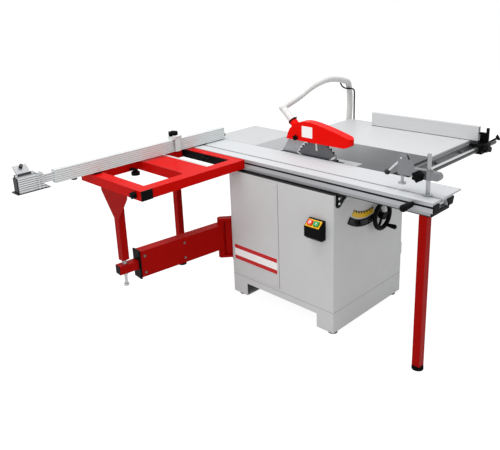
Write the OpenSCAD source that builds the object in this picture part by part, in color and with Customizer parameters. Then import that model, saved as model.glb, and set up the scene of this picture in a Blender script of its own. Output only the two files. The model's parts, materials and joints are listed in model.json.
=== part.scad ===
// Sliding table saw: cabinet saw with a tilting blade, an iron table, a sliding
// table with outrigger and crosscut fence, a rip fence and a dust hose.
// Sizes are in millimetres. Every module is drawn about the blade: the blade
// plane is x = 0, the arbor is at y = 0, the floor is z = 0, x points to the
// rip fence, y is the feed direction and z is up.

/* [Tables] */
// Height of the table tops above the floor
table_h = 850; // [830:1:880]
// Gap between the sliding table and the iron table
table_gap = 3; // [2:0.5:5]
// Distance from the blade plane to the sliding table
slide_edge = 16; // [14:1:20]
// Width of the iron table
iron_w = 381; // [370:1:400]
// Length of the iron table
iron_l = 946; // [920:1:980]
// Distance from the arbor to the front of the iron table
iron_front = 478; // [465:1:490]
// Thickness of the iron table plate
iron_t = 12; // [10:1:14]
// Depth of the iron table rim
iron_rim = 45; // [40:1:50]
// Thickness of rims and ribs of the iron table
iron_wall = 10; // [8:1:14]
// Distance from the arbor to the front end of the insert
insert_front = 265; // [255:1:275]
// Length of the table insert
insert_l = 550; // [530:1:560]
// Distance from the blade plane to the right edge of the insert
insert_right = 45; // [42:1:50]
// Thickness of the table insert
insert_t = 6; // [5:0.5:8]
// Width of the ledge under the insert
insert_ledge = 8; // [6:1:10]
// Distance from the blade plane to the free edge of the insert
insert_free = 5; // [4:0.5:7]
// Length of the outfeed plate
outfeed_l = 374; // [340:1:400]
// Width of the extension table
ext_w = 552; // [520:1:580]
// Length of the extension table
ext_l = 921; // [880:1:940]
// Depth of the turned down edges of the sheet tables
sheet_edge = 40; // [30:1:44]
// Thickness of the sheet tables
sheet_table_t = 3; // [2:0.5:5]

/* [Cabinet] */
// Distance from the blade plane to the left wall
cab_left = 290; // [280:1:300]
// Width of the cabinet
cab_w = 640; // [630:1:660]
// Distance from the arbor to the front wall
cab_front = 330; // [325:1:340]
// Depth of the cabinet
cab_d = 740; // [720:1:760]
// Height of the rubber feet
foot_h = 15; // [10:1:25]
// Radius of the rubber feet
foot_r = 25; // [20:1:30]
// Height of the plinth
plinth_h = 118; // [105:1:130]
// Length of the plinth corners beside the side openings
plinth_foot = 110; // [90:1:130]
// Height of the side openings in the plinth
plinth_cut = 78; // [60:1:90]
// Height of the cabinet body above the plinth
cab_h = 645; // [640:1:646]
// Thickness of the cabinet sheet
sheet = 3; // [2:0.5:4]
// Width of the flange round the top of the cabinet
flange_w = 30; // [25:1:40]
// Side length of the blocks that carry the iron table
riser_w = 28; // [22:1:34]
// Distance from the arbor to the front edge of the side cover
cover_front = 41; // [35:1:60]
// Distance from the side cover to the rear edge of the cabinet
cover_rear = 12; // [10:1:20]
// Distance from the cover to the plinth and to the top of the cabinet
cover_rim = 14; // [12:1:20]
// Gap round the side cover
cover_gap = 1; // [0.5:0.5:2]
// Radius of the tilt slot in the front wall
tilt_slot_r = 290; // [285:1:295]
// Half width of the tilt slot
tilt_slot_half = 14; // [12:0.5:17]
// Number of air slots in the right wall
vent_count = 7; // [3:1:9]
// Pitch of the air slots
vent_pitch = 26; // [20:1:32]

/* [Switch and inlet] */
// Distance from the arbor to the middle of the switch, towards the front
switch_y = 232; // [220:1:245]
// Height of the middle of the switch
switch_z = 582; // [570:1:600]
// Width of the switch box
switch_w = 98; // [92:1:112]
// Height of the switch box
switch_h = 102; // [96:1:110]
// Depth of the switch box
switch_d = 52; // [46:1:60]
// Thickness of the switch front plate
plate_t = 4; // [3:0.5:6]
// Width of a button
button_w = 30; // [26:1:34]
// Height of a button
button_h = 26; // [22:1:30]
// Distance between the buttons
button_pitch = 40; // [38:1:46]
// Height of a button above the plate
button_out = 9; // [7:0.5:12]
// Gap round a button
button_gap = 0.6; // [0.4:0.1:1]
// Size of the mains inlet along the wall
inlet_w = 55; // [48:1:62]
// Height of the mains inlet
inlet_h = 85; // [76:1:92]
// Depth of the mains inlet
inlet_d = 45; // [36:1:52]

/* [Sliding table] */
// Width of the sliding table
slide_w = 256; // [250:1:262]
// Length of the sliding table
slide_l = 1600; // [1560:1:1640]
// Distance from the arbor to the front of the sliding table
slide_front = 842; // [830:1:850]
// Thickness of the top of the sliding table
slide_t = 12; // [11:0.5:13]
// Thickness of the thin lip beside the blade
lip_t = 8; // [6:0.5:9]
// Width of the thin lip
lip_w = 74; // [70:1:80]
// Width of the outer box of the sliding table
box_w = 50; // [46:1:53]
// Wall of the sliding table boxes
box_wall = 5; // [4:0.5:6]
// Width of the T-slot mouth
slot_w = 14; // [12:0.5:16]
// Depth of the T-slot mouth
slot_lip = 6; // [5:0.5:7]
// Width of the T-slot chamber
slot_in = 26; // [22:1:28]
// Height of the T-slot chamber
slot_in_h = 10; // [9:0.5:11]
// Distance from the outer side to the middle of the T-slot
slot_out = 74; // [72:1:76]
// Width of the block round the T-slot
slot_block = 40; // [36:1:41]
// Height of the side groove
groove_h = 9; // [7:0.5:11]
// Depth of the side groove
groove_d = 10; // [8:0.5:12]
// Height of the slide rail base
rail_h = 18; // [16:1:19]
// Distance from the table tops down to the bottom of the slide rail
rail_drop = 68; // [67:0.5:69]
// Width of the slide rail base
rail_w = 160; // [152:1:162]
// Distance from the arbor to the front end of the slide rail
rail_front = 830; // [815:1:838]
// Length of the slide rail
rail_l = 1820; // [1780:1:1840]
// Width of the guide rib on the slide rail
rib_w = 28; // [24:1:32]
// Height of the guide rib
rib_h = 14; // [13:0.5:14.5]
// Running gap round the sliding parts
run_gap = 0.4; // [0.3:0.05:0.5]
// Length of the ball cage
cage_l = 700; // [600:1:760]
// Thickness of end caps
cap_t = 6; // [4:0.5:8]
// Length of the push handle
push_l = 94; // [84:1:115]
// Radius of the push handle
push_r = 17; // [13:0.5:18]
// Side length of the rail leg tubes
leg_w = 40; // [36:1:44]
// Wall of square tubes
tube_wall = 3; // [2:0.5:4]
// Height of the feet under the rail legs
leg_foot_h = 20; // [14:1:26]

/* [Outrigger] */
// Reach of the outrigger beyond the sliding table
out_reach = 698; // [680:1:715]
// Distance from the arbor to the front of the outrigger
out_front = 300; // [285:1:315]
// Length of the outrigger along the table
out_l = 542; // [525:1:560]
// Height of the outrigger beams
beam_h = 50; // [44:1:54]
// Width of the wide beams
beam_w = 66; // [60:1:72]
// Width of the beam beside the table
beam_in = 50; // [44:1:56]
// Distance from the tops of the tables down to the outrigger
out_drop = 4; // [3.5:0.5:6]
// Distance from the outer edge to the middle panel
panel_out = 317; // [300:1:330]
// Width of the middle panel
panel_w = 163; // [150:1:175]
// Distance from the outrigger front to the leg
out_leg_y = 222; // [200:1:240]
// Height of the lower end of the outrigger leg
out_leg_z = 414; // [413.5:0.5:420]
// Width of the gusset at the top
gusset_w = 232; // [200:1:250]
// Height of the gusset
gusset_h = 150; // [130:1:170]
// Length of the clamp lever of the outrigger
lever_l = 70; // [60:1:80]

/* [Swing arm] */
// Distance from the blade plane to the arm hinge
hinge_x = 320; // [318:1:326]
// Distance from the arbor to the arm hinge, towards the rear
hinge_y = 470; // [466:1:478]
// Height of the lower edge of the arm
arm_z = 290; // [284:1:296]
// Height of the arm section
arm_h = 150; // [140:1:156]
// Width of the arm section
arm_w = 60; // [56:1:66]
// Length of the arm box from the hinge
arm_l = 555; // [545:1:560]
// Radius of the hinge pin
pin_r = 12; // [10:0.5:14]
// Running gap of round fits
fit = 0.05; // [0.02:0.01:0.09]
// Radius of the hinge tube
hinge_r = 22; // [20:0.5:25]
// Side length of the inner tube
inner_w = 48; // [44:1:50]
// Radius of the foot rod
rod_r = 8; // [7:0.5:9]

/* [Crosscut fence] */
// Length of the crosscut fence
xfence_l = 1156; // [1130:1:1175]
// Distance from the blade plane to the crosscut fence
xfence_edge = 23; // [22:1:30]
// Distance from the arbor to the face of the crosscut fence
xfence_y = 725; // [715:1:728]
// Thickness of the crosscut fence
xfence_t = 32; // [30:1:36]
// Height of the crosscut fence
xfence_h = 70; // [66:1:76]
// Gap under the crosscut fence
xfence_lift = 7; // [6:0.5:9]
// Thickness of the extension bar
ext_bar_t = 20; // [18:0.5:21]
// Height of the extension bar
ext_bar_h = 36; // [32:1:38]
// Length of the extension bar outside the fence
ext_bar_out = 60; // [50:1:80]
// Length of the extension bar inside the fence
ext_bar_in = 520; // [450:1:560]
// Length of the end stop
end_l = 138; // [130:1:145]
// Distance from the right end of the fence to the flip stop
stop_at = 387; // [370:1:400]
// Width of the flip stop
stop_w = 52; // [46:1:58]
// Radius of the stop knob
stop_knob_r = 29; // [25:0.5:32]

/* [Hold down clamp] */
// Distance from the arbor to the clamp column, towards the front
clamp_y = 775; // [765:1:780]
// Radius of the column
column_r = 9.5; // [9:0.25:10]
// Height of the column above the table
column_h = 192; // [180:1:200]
// Height of the arm above the table
clamp_z = 97; // [92:1:104]
// Height of the arm section
clamp_arm_h = 38; // [34:1:42]
// Thickness of the clamp arm
clamp_arm_t = 28; // [26:1:32]
// Distance from the column to the press spindle
clamp_reach = 129; // [124:1:134]
// Height of the cam pivot above the arm
cam_up = 58; // [56:1:62]
// Radius of the cam
cam_r = 16; // [14:0.5:17]
// Offset of the cam
cam_off = 4; // [3.5:0.25:4.5]
// Radius of the cam pin
cam_pin_r = 4; // [3:0.25:5]
// Radius of the press spindle
spindle_r = 7; // [6:0.5:8]
// Radius of the press foot
press_r = 18; // [15:0.5:21]

/* [Rip fence] */
// Distance from the blade to the face of the rip fence
rip_x = 825; // [815:1:835]
// Length of the rip fence
rip_l = 729; // [700:1:760]
// Distance from the arbor to the front end of the rip fence
rip_front = 526; // [515:1:535]
// Height of the rip fence
rip_h = 87; // [80:1:92]
// Thickness of the rip fence
rip_t = 28; // [24:1:32]
// Gap between the rip fence and the tables
rip_gap = 0.6; // [0.4:0.1:1]
// Radius of the guide bar
bar_r = 15; // [13:0.5:17]
// Distance from the table front to the middle of the guide bar
bar_out = 67; // [62:1:72]
// Distance from the table tops down to the guide bar
bar_drop = 35; // [32:1:38]
// Distance from the blade to the left end of the guide bar
bar_left = 40; // [30:1:60]
// Length of the guide bar
bar_l = 970; // [950:1:985]
// Depth of the scale rail
scale_d = 22; // [18:1:26]
// Height of the scale rail
scale_h = 36; // [32:1:40]
// Width of the fence carriage
carr_w = 120; // [110:1:126]
// Depth of the fence carriage
carr_d = 64; // [58:1:70]

/* [Blade and guard] */
// Radius of the blade
blade_r = 157.5; // [150:0.5:160]
// Thickness of the blade
blade_t = 3; // [2.5:0.25:3.5]
// Number of teeth
teeth = 40; // [24:1:60]
// Depth of the teeth
tooth_h = 10; // [7:0.5:12]
// Distance from the table tops down to the arbor
arbor_drop = 60; // [58:1:62]
// Radius of the arbor shaft
arbor_r = 12; // [11:0.5:13]
// Radius of the blade flanges
flange_r = 35; // [32:1:37]
// Thickness of a blade flange
flange_t = 8; // [7:0.5:8.5]
// Gap between the blade and the riving knife
knife_gap = 6; // [4:0.5:8]
// Thickness of the riving knife
knife_t = 2.5; // [2:0.25:2.75]
// Half width of the guard
guard_half = 28; // [24:1:30]
// Wall of the guard
guard_wall = 3; // [2:0.5:4]
// Radius of the guard spigot and of the dust hose
hose_r = 20; // [18:0.5:22]
// Radius of the guard knob
guard_knob_r = 15; // [13:0.5:18]

/* [Drive and tilt] */
// Radius of the tilt guide
tilt_r = 170; // [166:1:174]
// Radius of the tilt pins
tilt_pin_r = 10; // [8:0.5:11]
// Clearance of the tilt pins
tilt_gap = 0.4; // [0.3:0.05:0.5]
// Thickness of the trunnion and cradle plates
cradle_t = 12; // [10:0.5:12.5]
// Distance from the arbor to the inside of the cradle plates
cradle_half = 273; // [270:1:275]
// Radius of the guide columns
guide_r = 15; // [13:0.5:17]
// Distance from the arbor to the guide columns
guide_y = 130; // [124:1:136]
// Distance from the blade to the guide columns
guide_x = 200; // [196:1:206]
// Radius of the arbor housing
housing_r = 32; // [28:1:34]
// Height of the motor axis
motor_z = 550; // [545:1:556]
// Radius of the motor
motor_r = 64; // [58:1:68]
// Length of the motor
motor_l = 160; // [140:1:166]
// Radius of the arbor pulley
small_r = 30; // [28:1:32]
// Radius of the motor pulley
big_r = 42; // [38:1:46]
// Thickness of the belt
belt_t = 5; // [4:0.5:7]
// Gap between the belt and the pulleys
belt_gap = 0.9; // [0.8:0.1:1.5]
// Distance from the blade to the handwheel shaft
wheel_x = 85; // [82:1:88]
// Height of the handwheel shaft
wheel_z = 573; // [568:1:578]
// Radius of the handwheel
wheel_r = 82; // [72:1:86]
// Distance from the cabinet front to the handwheel
wheel_out = 38; // [34:1:46]
// Radius of the handwheel shaft and of the lift screw
screw_r = 10; // [9:0.5:11]
// Distance from the arbor to the lift screw
screw_y = 230; // [226:1:234]
// Radius of the bevel gears
gear_r = 24; // [22:0.5:25]

/* [Dust and hose] */
// Radius of the dust port
port_r = 50; // [45:1:55]
// Length of the dust port
port_l = 110; // [100:1:120]
// Height of the dust port
port_z = 250; // [235:1:265]
// Distance from the blade plane to the dust port, to the left
port_x = 60; // [50:1:75]
// Wall of the dust port and of the branch
port_wall = 3; // [2:0.5:4]
// Length of the seat for the extraction hose
port_seat = 50; // [40:1:52]
// Gap between the ends of the dust hose and its spigots
hose_gap = 1; // [0.5:0.25:2]
// Radius of the hook rod
hook_r = 5; // [4:0.5:6]

/* [Hidden] */
$fn = 48;
// Table positions
iron_x0 = table_gap - slide_edge;
iron_x1 = iron_x0 + iron_w;
iron_y0 = -iron_front;
iron_y1 = iron_y0 + iron_l;
rim_z = table_h - iron_rim;
ins_y0 = -insert_front;
ins_y1 = ins_y0 + insert_l;
ext_x1 = iron_x1 + ext_w;
ext_y1 = iron_y0 + ext_l;
// Cabinet positions
cab_x0 = -cab_left;
cab_x1 = cab_x0 + cab_w;
cab_y0 = -cab_front;
cab_y1 = cab_y0 + cab_d;
plinth_top = foot_h + plinth_h;
cab_top = plinth_top + cab_h;
cover_z0 = plinth_top + cover_rim;
cover_z1 = cab_top - cover_rim;
cover_y1 = cab_y1 - cover_rear;
switch_face = cab_x0 - switch_d;
switch_top = switch_z + switch_h / 2;
switch_knee = switch_z + 17;
slope_x = switch_d - 14;
slope_l = norm([slope_x, switch_top - switch_knee]);
slope_a = atan2(slope_x, switch_top - switch_knee);
// Sliding table positions
slide_x1 = -slide_edge;
slide_x0 = slide_x1 - slide_w;
slide_y0 = -slide_front;
slide_y1 = slide_y0 + slide_l;
slot_x = slide_x0 + slot_out;
slot_z = table_h - slot_lip - slot_in_h;
block_z = slot_z - 8;
rail_z0 = table_h - rail_drop;
rail_z1 = rail_z0 + rail_h;
rail_x0 = slide_x0 + 5;
rail_y0 = -rail_front;
rail_y1 = rail_y0 + rail_l;
box_z = rail_z1 + 1.5;
groove_z = table_h - 22;
leg_x = slide_x0 + 27;
leg_front_y = rail_y0 + 36;
leg_rear_y = rail_y1 - 24;
// Outrigger positions
out_z1 = table_h - out_drop;
out_z0 = out_z1 - beam_h;
out_x0 = slide_x0 - out_reach;
out_y1 = out_front + out_l;
out_leg_at = [out_x0 + leg_w / 2, out_front + out_leg_y + leg_w / 2];
// Bar that clamps the outrigger to the table, and the lug of the fence lock
clamp_bar_t = 8;
lug_x = out_x0 + 270;
lug_y = out_y1 - beam_w - 50;
// Swing arm positions
arm_dx = -hinge_x - out_leg_at[0];
arm_dy = out_leg_at[1] - hinge_y;
arm_angle = atan2(arm_dy, arm_dx);
arm_reach = norm([arm_dx, arm_dy]);
inner_z = arm_z + arm_h / 2;
ear_t = 14;
ear_gap = 1;
web_x = cab_x0 + 28;
// the way that web runs, and how far
web_a = atan2(cab_y1 - hinge_y, web_x + hinge_x);
web_l = norm([cab_y1 - hinge_y, web_x + hinge_x]) - hinge_r - 8;
hinge_z0 = arm_z - 46;
hinge_z1 = arm_z + arm_h + 20;
// Crosscut fence positions
xf_x1 = -xfence_edge;
xf_x0 = xf_x1 - xfence_l;
xf_z0 = table_h + xfence_lift;
xf_z1 = xf_z0 + xfence_h;
xf_mid_y = xfence_y + xfence_t / 2;
xf_mid_z = (xf_z0 + xf_z1) / 2;
stop_x = xf_x1 - stop_at;
end_x1 = xf_x0 - ext_bar_out;
end_x0 = end_x1 - end_l;
base_x0 = end_x0 - 8;
// Hold down clamp positions
arm_mid_z = table_h + clamp_z;
cam_z = arm_mid_z + cam_up;
press_y = clamp_reach - clamp_y;
// Rip fence positions
bar_y = iron_y0 - bar_out;
bar_z = table_h - bar_drop;
bar_x1 = bar_left + bar_l;
rip_z0 = table_h + rip_gap;
carr_x0 = rip_x - 55;
// Thickness of the rubber edging of the tilt slot
edging_t = 5;
// Drive positions
arbor_z = table_h - arbor_drop;
tr_y0 = cradle_half + cradle_t + 3;
trunnion_lip = 8;
pin_a = 50;
pin_b = 72;
elbow_root = [0, 150, 1008];
elbow_at = [0, 250, 1100];
hose_start = [45, 260, 1108];
bevel_in = 14;
bevel_out = gear_r + 2;
// Side branch of the dust port
branch_y = cab_y1 + 36;
// Hook positions
hook_x = ext_x1 + 10;
hook_y = ext_y1 - 23;
// Middle of the whole part, which becomes the origin
mid_x = (base_x0 + bar_x1) / 2;
mid_y = (slide_y0 - cap_t + rail_y1 + cap_t) / 2;
// Points of the dust hose from the elbow over the hook to the dust port
hose_route = [hose_start, [190, 290, 1131], [350, 324, 1164], [530, 362, 1178],
    [680, 394, 1164], [790, 417, 1140], [875, 438, 1114], [940, 472, 1066],
    [964, 482, 985], [968, 486, 900], [962, 494, 790], [938, 518, 660],
    [880, 555, 530], [780, 580, 420], [640, 585, 340], [490, 560, 285],
    [340, 515, 258], [200, 466, 250], [110, 446, 250], [50, 446, 250]];
// Points of the hook rod from its foot to its free end
hook_route = [[hook_x, hook_y, table_h - 44], [hook_x, hook_y, table_h + 60],
    [hook_x, hook_y, table_h + 130], [hook_x, hook_y, table_h + 192],
    [hook_x - 4, hook_y + 7, table_h + 210], [hook_x - 14, hook_y + 22, table_h + 214],
    [hook_x - 25, hook_y + 38, table_h + 214], [hook_x - 36, hook_y + 56, table_h + 218],
    [hook_x - 46, hook_y + 72, table_h + 232], [hook_x - 52, hook_y + 80, table_h + 254]];

module placed() {
    translate([-mid_x, -mid_y, 0]) children();
}

module bar(at, size) {
    translate(at) cube(size);
}

// Flat shape in x and z, drawn out along y
module along_y(from, length) {
    translate([0, from + length, 0]) rotate([90, 0, 0]) linear_extrude(length) children();
}

// Flat shape in y and z, drawn out along x
module along_x(from, length) {
    translate([from, 0, 0]) rotate([90, 0, 90]) linear_extrude(length) children();
}

module rod_x(at, radius, length) {
    translate(at) rotate([0, 90, 0]) cylinder(r = radius, h = length);
}

module rod_y(at, radius, length) {
    translate(at) rotate([-90, 0, 0]) cylinder(r = radius, h = length);
}

module rod_z(at, radius, length) {
    translate(at) cylinder(r = radius, h = length);
}

module box_tube(at, size, wall, along) {
    in = [along == 0 ? -1 : wall, along == 1 ? -1 : wall, along == 2 ? -1 : wall];
    translate(at) difference() {
        cube(size);
        translate(in) cube(size - 2 * in);
    }
}

// Ring sector below a centre: angles are from straight down, positive to +x
module down_sector(r0, r1, a0, a1) {
    far = 2 * r1;
    mid = (a0 + a1) / 2;
    intersection() {
        difference() {
            circle(r = r1, $fn = 96);
            circle(r = r0, $fn = 96);
        }
        polygon([[0, 0], [far * sin(a0), -far * cos(a0)], [far * sin(mid), -far * cos(mid)],
            [far * sin(a1), -far * cos(a1)]]);
    }
}

module arc_slot(r, half, a0, a1) {
    down_sector(r - half, r + half, a0, a1);
    translate([r * sin(a0), -r * cos(a0)]) circle(r = half);
    translate([r * sin(a1), -r * cos(a1)]) circle(r = half);
}

// Lobed grip outline
module lobes(r, count) {
    circle(r = 0.78 * r);
    for (i = [0 : count - 1])
        rotate(i * 360 / count) translate([0.74 * r, 0]) circle(r = 0.26 * r, $fn = 24);
}

module star_knob(r, h) {
    linear_extrude(h) lobes(r, 6);
    translate([0, 0, h]) cylinder(r1 = 0.6 * r, r2 = 0.45 * r, h = 0.16 * h);
}

function unit(v) = v / norm(v);
// Point between route points i and i + 1 at share u, on a smooth curve
function curve_at(p, i, u) =
    let (n = len(p) - 1, a = p[max(i - 1, 0)], b = p[i], c = p[min(i + 1, n)],
        d = p[min(i + 2, n)])
    0.5 * (2 * b + (c - a) * u + (2 * a - 5 * b + 4 * c - d) * u * u
        + (3 * b - a - 3 * c + d) * u * u * u);
function smooth_route(p, steps) = concat(
    [for (i = [0 : len(p) - 2]) for (k = [0 : steps - 1]) curve_at(p, i, k / steps)],
    [p[len(p) - 1]]);
function tangent(p, i) = unit(p[min(i + 1, len(p) - 1)] - p[max(i - 1, 0)]);
function first_side(t) = unit(cross(t, abs(t[2]) < 0.9 ? [0, 0, 1] : [1, 0, 0]));
function turned(m, t) = unit(m - (m * t) * t);
function sides_of(p) = [for (i = 0, m = first_side(tangent(p, 0)); i < len(p);
    i = i + 1, m = turned(m, tangent(p, min(i, len(p) - 1)))) m];

// Round tube swept along points, closed at both ends
module swept(p, r, n) {
    side = sides_of(p);
    last = len(p) - 1;
    points = [for (i = [0 : last]) let (t = tangent(p, i), b = cross(t, side[i]))
        for (k = [0 : n - 1])
            p[i] + r * (cos(k * 360 / n) * side[i] + sin(k * 360 / n) * b)];
    skin = [for (i = [0 : last - 1]) for (k = [0 : n - 1])
        [i * n + k, (i + 1) * n + k, (i + 1) * n + (k + 1) % n, i * n + (k + 1) % n]];
    near = [[for (k = [0 : n - 1]) k]];
    far = [[for (k = [n - 1 : -1 : 0]) last * n + k]];
    polyhedron(points = points, faces = concat(skin, near, far), convexity = 6);
}

module plinth() {
    color("gainsboro") placed() difference() {
        bar([cab_x0, cab_y0, foot_h], [cab_w, cab_d, plinth_h]);
        bar([cab_x0 + sheet, cab_y0 + sheet, foot_h + sheet],
            [cab_w - 2 * sheet, cab_d - 2 * sheet, plinth_h]);
        bar([cab_x0 - 1, cab_y0 + plinth_foot, foot_h - 1],
            [cab_w + 2, cab_d - 2 * plinth_foot, plinth_cut + 1]);
        bar([cab_x0 + plinth_foot, cab_y0 + sheet, foot_h - 1],
            [cab_w - 2 * plinth_foot, cab_d - 2 * sheet, plinth_h]);
    }
}

module cabinet() {
    color("lightgray") placed() difference() {
        union() {
            difference() {
                bar([cab_x0, cab_y0, plinth_top], [cab_w, cab_d, cab_h]);
                bar([cab_x0 + sheet, cab_y0 + sheet, plinth_top - 1],
                    [cab_w - 2 * sheet, cab_d - 2 * sheet, cab_h + 1 - sheet]);
                bar([cab_x0 + flange_w, cab_y0 + flange_w, cab_top - sheet - 1],
                    [cab_w - 2 * flange_w, cab_d - 2 * flange_w, sheet + 2]);
            }
            bar([cab_x0 + sheet, cover_front - 8, cover_z0 - 8],
                [sheet, cover_y1 - cover_front + 16, cover_z1 - cover_z0 + 16]);
            for (x = [30, cab_x1 - riser_w]) for (y = [cab_y0, cab_y1 - riser_w])
                bar([x, y, cab_top], [riser_w, riser_w, rim_z - cab_top]);
        }
        bar([cab_x0 - 1, cover_front - cover_gap, cover_z0 - cover_gap],
            [sheet + 1, cover_y1 - cover_front + 2 * cover_gap,
            cover_z1 - cover_z0 + 2 * cover_gap]);
        bar([cab_x0 - 1, cover_front + 8, cover_z0 + 8],
            [3 * sheet, cover_y1 - cover_front - 16, cover_z1 - cover_z0 - 16]);
        along_y(cab_y0 - 1, sheet + 2) translate([0, table_h])
            arc_slot(tilt_slot_r, tilt_slot_half, -31, 20);
        rod_y([-port_x, cab_y1 - sheet - 1, port_z], port_r - port_wall, sheet + 2);
        for (i = [0 : vent_count - 1])
            bar([cab_x1 - sheet - 1, -90, 440 + i * vent_pitch], [sheet + 2, 180, 9]);
    }
}

module side_cover() {
    color("lightgray") placed() {
        bar([cab_x0, cover_front, cover_z0],
            [sheet, cover_y1 - cover_front, cover_z1 - cover_z0]);
        for (y = [cover_front + 18, cover_y1 - 18]) for (z = [cover_z0 + 18, cover_z1 - 18])
            rod_x([cab_x0 - 3, y, z], 6, 4);
    }
}

module feet() {
    color("black") placed() {
        for (x = [cab_x0 + 36, cab_x1 - 45]) for (y = [cab_y0 + 30, cab_y1 - 45])
            rod_z([x, y, 0], foot_r, foot_h);
        for (y = [leg_front_y, leg_rear_y]) {
            rod_z([leg_x, y, 0], leg_w * 0.7, leg_foot_h * 0.6);
            bar([leg_x - leg_w / 2, y - leg_w / 2, leg_foot_h * 0.6 - 1],
                [leg_w, leg_w, leg_foot_h * 0.4 + 1]);
        }
    }
}

module iron_table() {
    color("dimgray") placed() difference() {
        union() {
            difference() {
                bar([iron_x0, iron_y0, rim_z], [iron_w, iron_l, iron_rim]);
                bar([iron_x0 + iron_wall, iron_y0 + iron_wall, rim_z - 1],
                    [iron_w - 2 * iron_wall, iron_l - 2 * iron_wall, iron_rim - iron_t + 1]);
            }
            for (y = [cab_y0 + riser_w / 2, cab_y1 - riser_w / 2])
                bar([iron_x0 + 1, y - iron_wall / 2, rim_z], [iron_w - 2, iron_wall, iron_rim - 1]);
        }
        bar([iron_x0 - 1, ins_y0 + insert_ledge, rim_z - 1],
            [insert_right - insert_ledge - iron_x0 + 1, insert_l - 2 * insert_ledge, iron_rim + 2]);
        bar([iron_x0 - 1, ins_y0, table_h - insert_t],
            [insert_right - iron_x0 + 1, insert_l, insert_t + 1]);
    }
}

module table_insert() {
    color("silver") placed() difference() {
        bar([iron_x0 + 0.5, ins_y0 + 0.3, table_h - insert_t],
            [insert_right - iron_x0 - 0.8, insert_l - 0.6, insert_t]);
        bar([iron_x0 - 1, -blade_r - 22, table_h - insert_t - 1],
            [insert_free - iron_x0 + 1, blade_r + ins_y1 + 2, insert_t + 2]);
        for (y = [ins_y0 + 20, ins_y1 - 10])
            rod_z([insert_right - 18, y, table_h - 2], 4, 3);
    }
}

module sheet_top(x0, y0, w, l) {
    difference() {
        bar([x0, y0, table_h - sheet_edge], [w, l, sheet_edge]);
        bar([x0 + sheet_table_t, y0 + sheet_table_t, table_h - sheet_edge - 1],
            [w - 2 * sheet_table_t, l - 2 * sheet_table_t, sheet_edge + 1 - sheet_table_t]);
    }
}

module extension_table() {
    color("whitesmoke") placed() {
        sheet_top(iron_x1, iron_y0, ext_w, ext_l);
        for (y = [iron_y0 + ext_l / 3, iron_y0 + 2 * ext_l / 3])
            bar([iron_x1 + 1, y - 15, table_h - sheet_edge + 6],
                [ext_w - 2, 30, sheet_edge - 7]);
    }
}

module outfeed_table() {
    color("whitesmoke") placed() {
        sheet_top(iron_x0, iron_y1, iron_w, outfeed_l);
        bar([iron_x0 + iron_w / 2 - 15, iron_y1 + 1, table_h - sheet_edge + 6],
            [30, outfeed_l - 2, sheet_edge - 7]);
    }
}

module rip_rail() {
    color("lightsteelblue") placed() {
        rod_x([bar_left, bar_y, bar_z], bar_r, bar_l);
        for (i = [0 : 3])
            rod_y([bar_left + 60 + i * (bar_l - 120) / 3, bar_y, bar_z], 8, bar_out - scale_d);
    }
}

module rail_scale() {
    color("slategray") placed()
        bar([bar_left, iron_y0 - scale_d, bar_z - scale_h / 2 + 6], [bar_l - 90, scale_d, scale_h]);
}

module trunnions() {
    color("dimgray") placed() for (y = [-tr_y0 - cradle_t, tr_y0]) difference() {
        union() {
            along_y(y, cradle_t) polygon([[-12, 656], [130, 656], [206, 740],
                [206, table_h - iron_t - 6], [0, table_h - iron_t - 6], [0, 720], [-12, 700]]);
            bar([8, y - trunnion_lip, table_h - iron_t - 14], [190, cradle_t + 2 * trunnion_lip, 14]);
        }
        along_y(y - 20, cradle_t + 40) translate([0, table_h])
            down_sector(tilt_r - tilt_pin_r - tilt_gap, tilt_r + tilt_pin_r + tilt_gap,
                pin_a - 49, pin_b + 4);
    }
}

module slide_rail() {
    color("silver") placed() {
        along_y(rail_y0, rail_l) difference() {
            translate([rail_x0, rail_z0]) square([rail_w, rail_h]);
            translate([rail_x0 + 6, rail_z0 + 5]) square([rail_w / 2 - 12, rail_h - 10]);
            translate([rail_x0 + rail_w / 2 + 6, rail_z0 + 5]) square([rail_w / 2 - 12, rail_h - 10]);
        }
        along_y(rail_y0, rail_l) translate([slot_x - rib_w / 2, rail_z1 - 1])
            square([rib_w, rib_h + 1]);
    }
}

module rail_bracket(y0, y_bolt) {
    along_y(y0, 6) difference() {
        polygon([[cab_x0 + 15, rail_z0], [cab_x0 + 114, rail_z0], [cab_x0 + 112, rail_z0 - 20],
            [cab_x0 + 46, rail_z0 - 74], [cab_x0 + 26, rail_z0 - 76], [cab_x0 + 15, rail_z0 - 64]]);
        translate([cab_x0 + 60, rail_z0 - 30]) circle(r = 8);
    }
    for (at = [[30, -20], [30, -56], [92, -16]])
        rod_y([cab_x0 + at[0], y_bolt, rail_z0 + at[1]], 7, 5);
}

module rail_fittings() {
    color("black") placed() {
        rail_bracket(cab_y0 - 6, cab_y0 - 10);
        rail_bracket(cab_y1, cab_y1 + 5);
        for (y = [rail_y0 - cap_t, rail_y1])
            bar([rail_x0 + 3, y, rail_z0 + 1], [rail_w - 6, cap_t, rail_h - 2]);
        along_y(cab_y0 - edging_t, edging_t) translate([0, table_h]) difference() {
            down_sector(tilt_slot_r - tilt_slot_half - 5, tilt_slot_r + tilt_slot_half + 5, -35, 24);
            down_sector(tilt_slot_r - tilt_slot_half + 1, tilt_slot_r + tilt_slot_half - 1, -33.5, 22.5);
        }
    }
}

module rail_legs() {
    color("firebrick") placed() for (y = [leg_front_y, leg_rear_y]) {
        box_tube([leg_x - leg_w / 2, y - leg_w / 2, leg_foot_h],
            [leg_w, leg_w, rail_z0 - leg_foot_h - 5], tube_wall, 2);
        bar([leg_x - leg_w / 2 + 1, y - leg_w / 2 + 1, rail_z0 - 7], [leg_w + 24, leg_w - 2, 7]);
    }
}

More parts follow.
